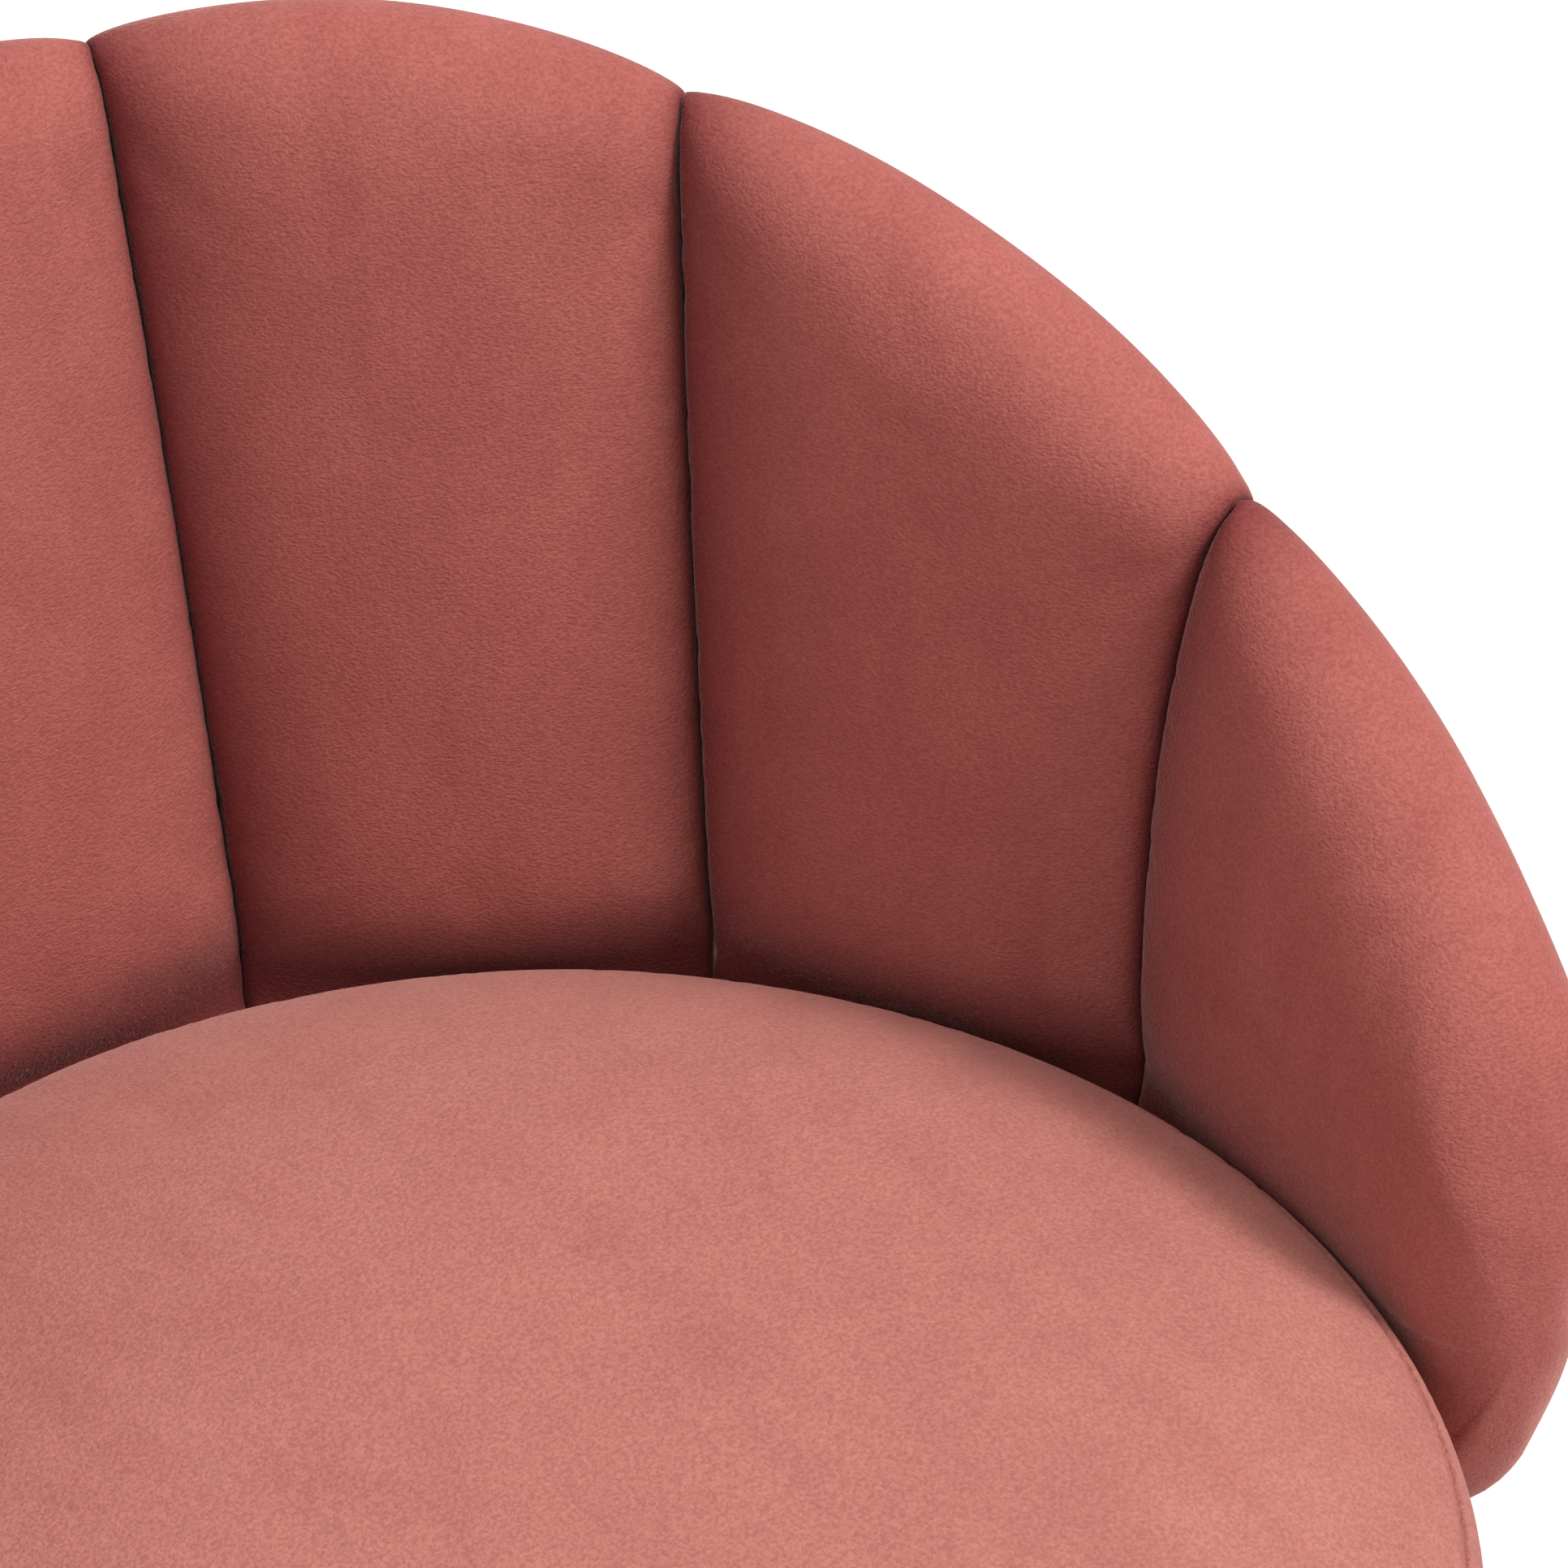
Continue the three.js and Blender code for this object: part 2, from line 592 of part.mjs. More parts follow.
/** Height of the seat's skin above the rim, at a radius, for a dome of a given size. */
function domeAt(radius, reach, crown) {
  return crown * Math.sqrt(Math.max(0, 1 - (radius / reach) ** seat.fullness));
}

/** Outline of the dome from its rim to its middle. */
function domeOutline(reach, crown) {
  const shares = [1, 0.985, 0.95, 0.87, 0.72, 0.5, 0.25, 0];
  return shares.map((share) => [reach * share, seat.rimHeight + domeAt(reach * share, reach, crown)]);
}

/** The springs, the foam and the cover of the seat. */
function addSeat() {
  for (let i = 0; i < spring.count; i += 1) {
    add(`seat_spring_${i + 1}`, springWire((i - (spring.count - 1) / 2) * spring.spacing), 'zincSteel');
  }
  const hem = seat.rimHeight - seat.borderDrop;
  const wall = seat.coverWall;
  const foamReach = seat.radius - wall - GAP;
  const foam = [[hoopRadius + GAP, hem], [foamReach, hem], ...domeOutline(foamReach, seat.crown - wall - GAP),
    [0, foamBottom], [hoopRadius + GAP, foamBottom]];
  add('seat_foam', turned(startOnAxis(foam)), 'foam');
  const outside = domeOutline(seat.radius, seat.crown);
  const inside = domeOutline(seat.radius - wall, seat.crown - wall).reverse();
  const cover = [[seat.radius, hem], ...outside, ...inside, [seat.radius - wall, hem]];
  add('seat_cover', turned(startOnAxis(cover)), 'velvet');
}

/** Turns an outline round so that it starts at its first point on the axis after the skin. */
function startOnAxis(outline) {
  const first = outline.findIndex(([radius], i) => radius === 0 && outline[(i + 1) % outline.length][0] === 0);
  const start = (first + 1) % outline.length;
  return [...outline.slice(start), ...outline.slice(0, start)];
}

/** The plywood shell and the seven petals round it. */
function addShell() {
  const holes = bolt.angles.map((degrees) => spoke(bolt.radius + GAP, hoopInner,
    boltTip + GAP, THREE.MathUtils.degToRad(degrees), boltHeight));
  add('back_shell', cut(shellSolid(0), holes), 'plywood');
  const slot = shellSolid(GAP);
  for (let i = 0; i < petals.count; i += 1) {
    add(`petal_${i + 1}`, cut(petalSolid(i), [slot, ...holes]), 'velvet');
  }
}

addBase();
addBalls();
addCarriage();
addLinks();
addFrame();
addSeat();
addShell();

export default chair;
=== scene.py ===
"""A swivel glider armchair in dusty rose velvet, dressed over its working frame.

Seven plump petals make the back and arms, a round domed cushion makes the seat, and a
padded drum hides four glide links on a turning carriage. Metres, +Z up, the chair faces -Y.
"""

import logging
import math
from dataclasses import dataclass, field
from enum import Enum

import bmesh
import bpy
import numpy as np
from mathutils import Matrix, Vector, noise


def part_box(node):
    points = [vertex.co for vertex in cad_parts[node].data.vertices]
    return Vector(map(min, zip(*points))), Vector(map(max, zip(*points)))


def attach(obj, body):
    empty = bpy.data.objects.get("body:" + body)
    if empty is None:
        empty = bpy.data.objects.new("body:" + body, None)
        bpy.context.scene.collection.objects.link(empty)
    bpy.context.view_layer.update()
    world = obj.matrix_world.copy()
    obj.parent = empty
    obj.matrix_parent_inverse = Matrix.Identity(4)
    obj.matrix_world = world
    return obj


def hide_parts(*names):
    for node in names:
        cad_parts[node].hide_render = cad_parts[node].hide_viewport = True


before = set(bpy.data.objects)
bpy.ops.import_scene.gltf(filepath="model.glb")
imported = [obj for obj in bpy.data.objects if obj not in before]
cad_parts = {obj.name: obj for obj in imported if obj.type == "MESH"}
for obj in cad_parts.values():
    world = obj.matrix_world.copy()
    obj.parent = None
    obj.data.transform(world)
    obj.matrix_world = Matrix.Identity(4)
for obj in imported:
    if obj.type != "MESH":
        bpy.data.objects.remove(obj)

LOG = logging.getLogger("glider_chair")
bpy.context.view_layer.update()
MM = 0.001
# Name of the mask that paints shade into the velvet's colour.
PAINTED_SHADE = "painted_shade"


class Slot(Enum):
    """The record's finishes, by the part that wears them."""

    VELVET = "velvet"
    BLACK_STEEL = "black_steel"
    ZINC_STEEL = "zinc_steel"
    RUBBER = "rubber"


class Facing(Enum):
    """Which way a bolt's head looks, as the Euler turn that takes +Z there."""

    UP = (0.0, 0.0, 0.0)
    DOWN = (math.pi, 0.0, 0.0)


# ---- Shader helpers ---------------------------------------------------------------


class NodeSheet:
    """Adds and links nodes in one shader or geometry tree, left to right."""

    def __init__(self, tree: bpy.types.NodeTree) -> None:
        """Keeps the tree.

        Args:
            tree: the node tree that is filled.
        """
        self.tree = tree
        self.column = 0

    def add(self, kind: str, **settings: object) -> bpy.types.Node:
        """Adds a node.

        Args:
            kind: the node's type name.
            settings: properties of the node, and sockets or values for its inputs as in_NAME
                or in_INDEX.

        Returns:
            The node.
        """
        node = self.tree.nodes.new(kind)
        node.location = (self.column * 190, -(self.column % 5) * 170)
        self.column += 1
        for key, value in settings.items():
            if key.startswith("in_"):
                name = key[3:]
                self.feed(value, node.inputs[int(name) if name.isdigit() else name.replace("_", " ")])
            else:
                setattr(node, key, value)
        return node

    def link(self, source: bpy.types.NodeSocket, target: bpy.types.NodeSocket) -> None:
        """Joins an output to an input."""
        self.tree.links.new(source, target)

    def feed(self, value: object, target: bpy.types.NodeSocket) -> None:
        """Links a socket to an input, or gives the input a plain value."""
        if isinstance(value, bpy.types.NodeSocket):
            self.link(value, target)
        else:
            target.default_value = value

    def math(self, operation: str, first: object, second: object = 0.0) -> bpy.types.NodeSocket:
        """Adds a Math node.

        Args:
            operation: the operation's name.
            first: a socket or a number.
            second: a socket or a number.

        Returns:
            The result's socket.
        """
        return self.add("ShaderNodeMath", operation=operation, in_0=first, in_1=second).outputs[0]

    def noise(self, place: bpy.types.NodeSocket, **settings: object) -> bpy.types.NodeSocket:
        """Adds a Noise Texture.

        Args:
            place: where it is read.
            settings: values for its inputs, as in add.

        Returns:
            The noise's socket.
        """
        return self.add("ShaderNodeTexNoise", in_Vector=place, **settings).outputs[0]

    def vector(self, x: object = 0.0, y: object = 0.0, z: object = 0.0) -> bpy.types.NodeSocket:
        """Joins three sockets or numbers to a vector's socket."""
        return self.add("ShaderNodeCombineXYZ", in_0=x, in_1=y, in_2=z).outputs[0]

    def ramp(self, factor: bpy.types.NodeSocket, low: float, high: float) -> bpy.types.NodeSocket:
        """Stretches a range of values to 0..1, with ends that ease in and out.

        Args:
            factor: the value that is stretched.
            low: the value that becomes 0.
            high: the value that becomes 1.

        Returns:
            The stretched value's socket.
        """
        return self.add("ShaderNodeMapRange", interpolation_type="SMOOTHSTEP", in_Value=factor,
                        in_From_Min=low, in_From_Max=high).outputs["Result"]

    def mix_colour(self, factor: object, first: object, second: object,
                   blend: str = "MIX") -> bpy.types.NodeSocket:
        """Adds a colour Mix node.

        Args:
            factor: a socket or a number.
            first: a socket or an RGBA colour.
            second: a socket or an RGBA colour.
            blend: how the second colour is laid on the first.

        Returns:
            The mixed colour's socket.
        """
        return self.add("ShaderNodeMix", data_type="RGBA", blend_type=blend, in_0=factor, in_6=first,
                        in_7=second).outputs[2]


def colour(red: int, green: int, blue: int) -> tuple[float, float, float, float]:
    """Turns an sRGB colour of 0..255 into the linear colour that a shader takes."""
    channels = []
    for value in (red, green, blue):
        share = value / 255
        channels.append(share / 12.92 if share <= 0.04045 else ((share + 0.055) / 1.055) ** 2.4)
    return (*channels, 1.0)


def new_group(name: str, inputs: dict[str, tuple[str, object]],
              outputs: dict[str, str]) -> tuple[NodeSheet, bpy.types.Node, bpy.types.Node]:
    """Makes an empty shader node group.

    Args:
        name: the group's name.
        inputs: socket type and first value, by input name.
        outputs: socket type, by output name.

    Returns:
        The sheet to fill, the group's input node and its output node.
    """
    group = bpy.data.node_groups.new(name, "ShaderNodeTree")
    for label, (kind, value) in inputs.items():
        socket = group.interface.new_socket(label, in_out="INPUT", socket_type=kind)
        if value is not None:
            socket.default_value = value
    for label, kind in outputs.items():
        group.interface.new_socket(label, in_out="OUTPUT", socket_type=kind)
    sheet = NodeSheet(group)
    return sheet, sheet.add("NodeGroupInput"), sheet.add("NodeGroupOutput")


class ShaderGroups:
    """The effects that several finishes share, each built once."""

    @staticmethod
    def pile() -> bpy.types.NodeTree:
        """The short nap of a velvet: fine rows, brushed patches and a soft cloudiness.

        Returns:
            A group from a place on the cloth (metres) and one in space to masks and a height.
        """
        known = bpy.data.node_groups.get("velvet_pile")
        if known:
            return known
        sheet, source, result = new_group("velvet_pile", {
            "Cloth": ("NodeSocketVector", None),
            "Space": ("NodeSocketVector", None),
            "Rows per metre": ("NodeSocketFloat", 1250.0),
            "Tufts per metre": ("NodeSocketFloat", 620.0),
            "Patches per metre": ("NodeSocketFloat", 26.0),
        }, {"Rows": "NodeSocketFloat", "Patches": "NodeSocketFloat", "Brushed": "NodeSocketFloat",
            "Height": "NodeSocketFloat"})
        space, tufts = source.outputs["Space"], source.outputs["Tufts per metre"]
        scales = sheet.vector(tufts, tufts, source.outputs["Rows per metre"])
        fine = sheet.add("ShaderNodeVectorMath", operation="MULTIPLY", in_0=space, in_1=scales)
        rows = sheet.noise(fine.outputs[0], in_Scale=1.0, in_Detail=2.0, in_Roughness=0.6,
                           in_Distortion=0.35)
        patches = sheet.noise(space, in_Scale=source.outputs["Patches per metre"], in_Detail=4.0,
                              in_Roughness=0.55, in_Distortion=0.6)
        along = sheet.add("ShaderNodeMapping", in_Vector=source.outputs["Cloth"],
                          in_Scale=(24.0, 4.0, 1.0))
        brushed = sheet.noise(along.outputs[0], in_Scale=1.0, in_Detail=3.0, in_Roughness=0.6,
                              in_Distortion=0.9)
        specks = sheet.noise(space, in_Scale=900.0, in_Detail=1.0, in_Roughness=0.5)
        masks = {"Rows": sheet.ramp(rows, 0.3, 0.7), "Patches": sheet.ramp(patches, 0.33, 0.68),
                 "Brushed": sheet.ramp(brushed, 0.4, 0.72),
                 "Height": sheet.math("ADD", rows, sheet.math("MULTIPLY", specks, 0.6))}
        for label, mask in masks.items():
            sheet.link(mask, result.inputs[label])
        return sheet.tree

    @staticmethod
    def wear() -> bpy.types.NodeTree:
        """Fine dust and handling marks on a hard finish.

        Returns:
            A group from a place in space to a dust mask, a fine grain and a height.
        """
        known = bpy.data.node_groups.get("hard_finish_wear")
        if known:
            return known
        sheet, source, result = new_group("hard_finish_wear", {
            "Space": ("NodeSocketVector", None),
            "Grain per metre": ("NodeSocketFloat", 900.0),
            "Dust per metre": ("NodeSocketFloat", 18.0),
        }, {"Dust": "NodeSocketFloat", "Grain": "NodeSocketFloat", "Height": "NodeSocketFloat"})
        space = source.outputs["Space"]
        grain = sheet.noise(space, in_Scale=source.outputs["Grain per metre"], in_Detail=2.0,
                            in_Roughness=0.6)
        dust = sheet.noise(space, in_Scale=source.outputs["Dust per metre"], in_Detail=6.0,
                           in_Roughness=0.65, in_Distortion=0.4)
        masks = {"Dust": sheet.ramp(dust, 0.45, 0.75), "Grain": sheet.ramp(grain, 0.3, 0.7),
                 "Height": grain}
        for label, mask in masks.items():
            sheet.link(mask, result.inputs[label])
        return sheet.tree


def place_group(sheet: NodeSheet, tree: bpy.types.NodeTree) -> bpy.types.Node:
    """Adds a node that holds a shader group, fed by the piece's own coordinates.

    Args:
        sheet: the material's sheet.
        tree: the group.

    Returns:
        The group's node.
    """
    node = sheet.add("ShaderNodeGroup", node_tree=tree)
    place = sheet.add("ShaderNodeTexCoord")
    sheet.link(place.outputs["Object"], node.inputs["Space"])
    if "Cloth" in node.inputs:
        sheet.link(place.outputs["UV"], node.inputs["Cloth"])
    return node


def new_material(name: str, **settings: object) -> tuple[bpy.types.Material, NodeSheet, bpy.types.Node]:
    """Makes a material with a Principled shader.

    Args:
        name: the material's name.
        settings: values for the shader's inputs, as in NodeSheet.add.

    Returns:
        The material, its sheet and its shader.
    """
    material = bpy.data.materials.new(name)
    material.use_nodes = True
    material.node_tree.nodes.clear()
    sheet = NodeSheet(material.node_tree)
    shader = sheet.add("ShaderNodeBsdfPrincipled", **settings)
    sheet.add("ShaderNodeOutputMaterial", in_Surface=shader.outputs[0])
    return material, sheet, shader


def add_bump(sheet: NodeSheet, shader: bpy.types.Node, height: bpy.types.NodeSocket,
             strength: float, depth: float) -> None:
    """Feeds a height to a shader's normal.

    Args:
        sheet: the material's sheet.
        shader: its Principled shader.
        height: the height's socket.
        strength: how much of the bump is used, 0..1.
        depth: the bump's depth in metres.
    """
    bump = sheet.add("ShaderNodeBump", in_Strength=strength, in_Distance=depth, in_Height=height)
    sheet.link(bump.outputs[0], shader.inputs["Normal"])


# ---- Finishes ---------------------------------------------------------------------


@dataclass(frozen=True)
class Velvet:
    """Short-pile velvet: darker where the nap is brushed away, pale where it is seen edge on, and painted
    darker where a piece's shade mask says.
    """

    name: str = "dusty_rose_velvet"
    lit: tuple[int, int, int] = (172, 98, 90)
    brushed: tuple[int, int, int] = (154, 80, 75)
    # Colour of the painted shade in the seams, the folds and the seat's border.
    painted_shade: tuple[int, int, int] = (102, 33, 36)
    sheen: float = 0.5
    sheen_roughness: float = 0.25
    sheen_colour: tuple[int, int, int] = (255, 218, 210)
    roughness: float = 0.86
    specular: float = 0.12
    mottling: float = 0.3
    row_depth: float = 0.52
    row_tint: tuple[float, float, float, float] = (0.55, 0.45, 0.45, 1.0)
    bump: float = 0.55 * MM

    def make(self) -> bpy.types.Material:
        """Builds the material."""
        material, sheet, shader = new_material(
            self.name, in_Roughness=self.roughness, in_Specular_IOR_Level=self.specular,
            in_Sheen_Weight=self.sheen, in_Sheen_Roughness=self.sheen_roughness,
            in_Sheen_Tint=colour(*self.sheen_colour))
        pile = place_group(sheet, ShaderGroups.pile())
        cloudy = sheet.math("MULTIPLY", pile.outputs["Patches"], self.mottling)
        strokes = sheet.math("MULTIPLY", pile.outputs["Brushed"], self.mottling)
        mottle = sheet.math("ADD", cloudy, strokes)
        even = sheet.mix_colour(mottle, colour(*self.lit), colour(*self.brushed))
        # Painted shade: the piece's mask darkens the colour towards the painted shade colour.
        shade_mask = sheet.add("ShaderNodeAttribute", attribute_name=PAINTED_SHADE)
        shade = sheet.mix_colour(shade_mask.outputs["Fac"], even, colour(*self.painted_shade))
        rows = sheet.math("MULTIPLY", pile.outputs["Rows"], self.row_depth)
        deep = sheet.mix_colour(rows, shade, self.row_tint, "MULTIPLY")
        sheet.link(deep, shader.inputs["Base Color"])
        add_bump(sheet, shader, pile.outputs["Height"], 1.0, self.bump)
        return material


@dataclass(frozen=True)
class HardFinish:
    """A metal, rubber or moulded finish with grain, dust and handling marks."""

    name: str
    tone: tuple[int, int, int]
    dusty: tuple[int, int, int]
    roughness: float
    metallic: float = 0.0
    grain: float = 900.0
    bump: float = 0.04
    coat: float = 0.0

    def make(self) -> bpy.types.Material:
        """Builds the material."""
        material, sheet, shader = new_material(self.name, in_Roughness=self.roughness,
                                               in_Metallic=self.metallic, in_Coat_Weight=self.coat)
        wear = place_group(sheet, ShaderGroups.wear())
        wear.inputs["Grain per metre"].default_value = self.grain
        amount = sheet.math("MULTIPLY", wear.outputs["Dust"], 0.5)
        sheet.link(sheet.mix_colour(amount, colour(*self.tone), colour(*self.dusty)),
                   shader.inputs["Base Color"])
        spread = sheet.math("MULTIPLY", wear.outputs["Dust"], 0.22)
        fine = sheet.math("MULTIPLY", wear.outputs["Grain"], 0.1)
        rough = sheet.math("ADD", sheet.math("ADD", spread, fine), self.roughness - 0.08)
        sheet.link(rough, shader.inputs["Roughness"])
        add_bump(sheet, shader, wear.outputs["Height"], 0.5, self.bump * MM)
        return material


class PlyRun(Enum):
    """Which way the veneers of a plywood piece are stacked."""

    FLAT = "flat"
    ROUND = "round"


@dataclass(frozen=True)
class Plywood:
    """Birch plywood: long grain on its faces and glued veneers on its edges."""

    name: str
    run: PlyRun
    pale: tuple[int, int, int] = (222, 190, 148)
    dark: tuple[int, int, int] = (176, 132, 88)
    veneer: float = 1.5 * MM

    def make(self) -> bpy.types.Material:
        """Builds the material."""
        material, sheet, shader = new_material(self.name, in_Roughness=0.62)
        place = sheet.add("ShaderNodeTexCoord")
        split = sheet.add("ShaderNodeSeparateXYZ", in_0=place.outputs["Object"])
        if self.run is PlyRun.FLAT:
            depth = split.outputs[2]
        else:
            across = sheet.math("MULTIPLY", split.outputs[0], split.outputs[0])
            along = sheet.math("MULTIPLY", split.outputs[1], split.outputs[1])
            depth = sheet.math("SQRT", sheet.math("ADD", across, along))
        layer = sheet.math("PINGPONG", depth, self.veneer)
        edge = sheet.ramp(layer, 0.35 * self.veneer, 0.65 * self.veneer)
        stretch = sheet.add("ShaderNodeMapping", in_Vector=place.outputs["Object"],
                            in_Scale=(9.0, 130.0, 130.0))
        grain = sheet.noise(stretch.outputs[0], in_Scale=1.0, in_Detail=6.0, in_Roughness=0.6,
                            in_Distortion=1.2)
        figure = sheet.ramp(grain, 0.35, 0.7)
        shade = sheet.math("ADD", sheet.math("MULTIPLY", edge, 0.35), sheet.math("MULTIPLY", figure, 0.5))
        wood = sheet.mix_colour(shade, colour(*self.pale), colour(*self.dark))
        sheet.link(wood, shader.inputs["Base Color"])
        add_bump(sheet, shader, grain, 0.4, 0.15 * MM)
        return material


@dataclass
class FinishRack:
    """Every finish of the chair, made once and handed out by name."""

    velvet: bpy.types.Material = field(init=False)
    seat_velvet_painted_lighter: bpy.types.Material = field(init=False)
    black_steel: bpy.types.Material = field(init=False)
    zinc_steel: bpy.types.Material = field(init=False)
    rubber: bpy.types.Material = field(init=False)
    nylon: bpy.types.Material = field(init=False)
    board: bpy.types.Material = field(init=False)
    bent_board: bpy.types.Material = field(init=False)

    def __post_init__(self) -> None:
        """Makes the materials."""
        self.velvet = Velvet().make()
        # The seat wears the same velvet painted lighter and pinker, for the light on its upward face.
        self.seat_velvet_painted_lighter = Velvet("dusty_rose_velvet_seat_painted_lighter", (182, 118, 107), (168, 102, 94),
                                  sheen=0.34, sheen_roughness=0.3).make()
        self.black_steel = HardFinish("black_powder_coat", (30, 30, 32), (58, 57, 56), 0.48, grain=1400.0,
                                      bump=0.12).make()
        self.zinc_steel = HardFinish("zinc_plate", (196, 198, 202), (150, 150, 148), 0.3, 0.95,
                                     bump=0.02).make()
        self.rubber = HardFinish("black_rubber", (24, 24, 25), (62, 60, 58), 0.82, grain=700.0,
                                 bump=0.1).make()
        self.nylon = HardFinish("white_nylon", (232, 229, 220), (206, 201, 190), 0.42, coat=0.1).make()
        self.board = Plywood("birch_board", PlyRun.FLAT).make()
        self.bent_board = Plywood("birch_bent_board", PlyRun.ROUND).make()


# ---- Mesh helpers -----------------------------------------------------------------


def new_piece(name: str, points: np.ndarray, faces: list[tuple[int, ...]],
              material: bpy.types.Material) -> bpy.types.Object:
    """Makes a smooth-shaded mesh object at the origin, its faces pointing out.

    Args:
        name: the object's name.
        points: its vertices, in metres.
        faces: vertex indices of each face.
        material: its material.

    Returns:
        The object.
    """
    mesh = bpy.data.meshes.new(name)
    mesh.from_pydata(np.asarray(points, float).reshape(-1, 3).tolist(), [], faces)
    mesh.materials.append(material)
    work = bmesh.new()
    work.from_mesh(mesh)
    bmesh.ops.recalc_face_normals(work, faces=work.faces)
    if work.calc_volume(signed=True) < 0:
        bmesh.ops.reverse_faces(work, faces=work.faces)
    work.to_mesh(mesh)
    work.free()
    mesh.polygons.foreach_set("use_smooth", [True] * len(mesh.polygons))
    piece = bpy.data.objects.new(name, mesh)
    bpy.context.scene.collection.objects.link(piece)
    return piece


def read_vectors(items: bpy.types.bpy_prop_collection, name: str) -> np.ndarray:
    """One vector of each item in a mesh's collection, as rows of x, y and z."""
    flat = np.zeros(len(items) * 3)
    items.foreach_get(name, flat)
    return flat.reshape(-1, 3)


def coordinates(piece: bpy.types.Object) -> np.ndarray:
    """A piece's vertices as rows of x, y and z."""
    return read_vectors(piece.data.vertices, "co")


def normals(piece: bpy.types.Object) -> np.ndarray:
    """A piece's vertex normals as rows of x, y and z."""
    return read_vectors(piece.data.vertex_normals, "vector")


def move_points(piece: bpy.types.Object, points: np.ndarray) -> None:
    """Puts a piece's vertices at new places."""
    piece.data.vertices.foreach_set("co", np.asarray(points, float).ravel())
    piece.data.update()


def settle(piece: bpy.types.Object) -> None:
    """Turns a piece with its modifiers into a plain mesh and removes them."""
    graph = bpy.context.evaluated_depsgraph_get()
    mesh = bpy.data.meshes.new_from_object(piece.evaluated_get(graph))
    piece.modifiers.clear()
    piece.data = mesh


def subdivide(piece: bpy.types.Object) -> None:
    """Gives a piece one level of subdivision, applied."""
    finer = piece.modifiers.new("finer", "SUBSURF")
    finer.levels = 1
    finer.render_levels = 1
    settle(piece)
    piece.data.polygons.foreach_set("use_smooth", [True] * len(piece.data.polygons))


def write_cloth_map(piece: bpy.types.Object, place: np.ndarray, across_wrap: float = 0.0,
                    along_wrap: float = 0.0) -> None:
    """Writes where each point lies on the cloth, in metres, as the piece's UV map.

    Args:
        piece: the piece.
        place: a row of across and along for each vertex.
        across_wrap: length after which the cloth comes round again sideways, or 0.
        along_wrap: length after which it comes round again lengthways, or 0.
    """
    layer = piece.data.uv_layers.new(name="cloth")
    values = np.zeros((len(piece.data.loops), 2))
    for face in piece.data.polygons:
        rows = place[list(face.vertices)].copy()
        for column, wrap in enumerate((across_wrap, along_wrap)):
            if wrap and np.ptp(rows[:, column]) > wrap / 2:
                rows[rows[:, column] < wrap / 2, column] += wrap
        values[list(face.loop_indices)] = rows
    layer.data.foreach_set("uv", values.ravel())


def write_mask(piece: bpy.types.Object, name: str, values: np.ndarray) -> None:
    """Stores one number for each point of a piece, for its finish to read.

    Args:
        piece: the piece.
        name: the attribute's name.
        values: the numbers, 0..1.
    """
    layer = piece.data.attributes.new(name, "FLOAT", "POINT")
    layer.data.foreach_set("value", np.asarray(values, dtype=np.float32))


def smooth_through(values: tuple[float, ...], place: np.ndarray) -> np.ndarray:
    """A smooth line through equally spaced values.

    Args:
        values: the line's values at 0, 1, 2 and so on.
        place: where it is read, in the same steps.

    Returns:
        The line's value at each place.
    """
    known = np.asarray((values[1], *values, 2 * values[-1] - values[-2]))
    index = np.clip(np.floor(place).astype(int), 0, len(values) - 2)
    share = np.clip(place, 0, len(values) - 1) - index
    before, start, end, after = (known[index + k] for k in range(4))
    bend = 2 * before - 5 * start + 4 * end - after
    twist = 3 * (start - end) + after - before
    return start + 0.5 * share * (end - before + share * (bend + share * twist))


def ripple(places: np.ndarray, scale: float, seed: float) -> np.ndarray:
    """Smooth irregular values of about -1..1.

    Args:
        places: rows of two or three coordinates in metres.
        scale: size of a ripple in metres.
        seed: picks another pattern.

    Returns:
        One value for each row.
    """
    padded = np.zeros((len(places), 3))
    padded[:, :places.shape[1]] = places / scale
    padded[:, 2] += seed
    return np.array([noise.noise(Vector(row)) for row in padded])


def ring_faces(columns: int, ring: int, closed: bool) -> list[tuple[int, ...]]:
    """Four-sided faces between neighbouring closed loops of points.

    Args:
        columns: how many loops there are.
        ring: how many points each loop has.
        closed: whether the last loop joins the first.

    Returns:
        Point indices of each face.
    """
    faces = []
    for i in range(columns if closed else columns - 1):
        here, after = i * ring, (i + 1) % columns * ring
        for j in range(ring):
            beside = (j + 1) % ring
            faces.append((here + j, here + beside, after + beside, after + j))
    return faces


# ---- Cloth under pressure ---------------------------------------------------------


@dataclass
class SwellJob:
    """One pad that is blown up from inside, and how far its cloth may move."""

    piece: bpy.types.Object
    held: np.ndarray
    cap: float


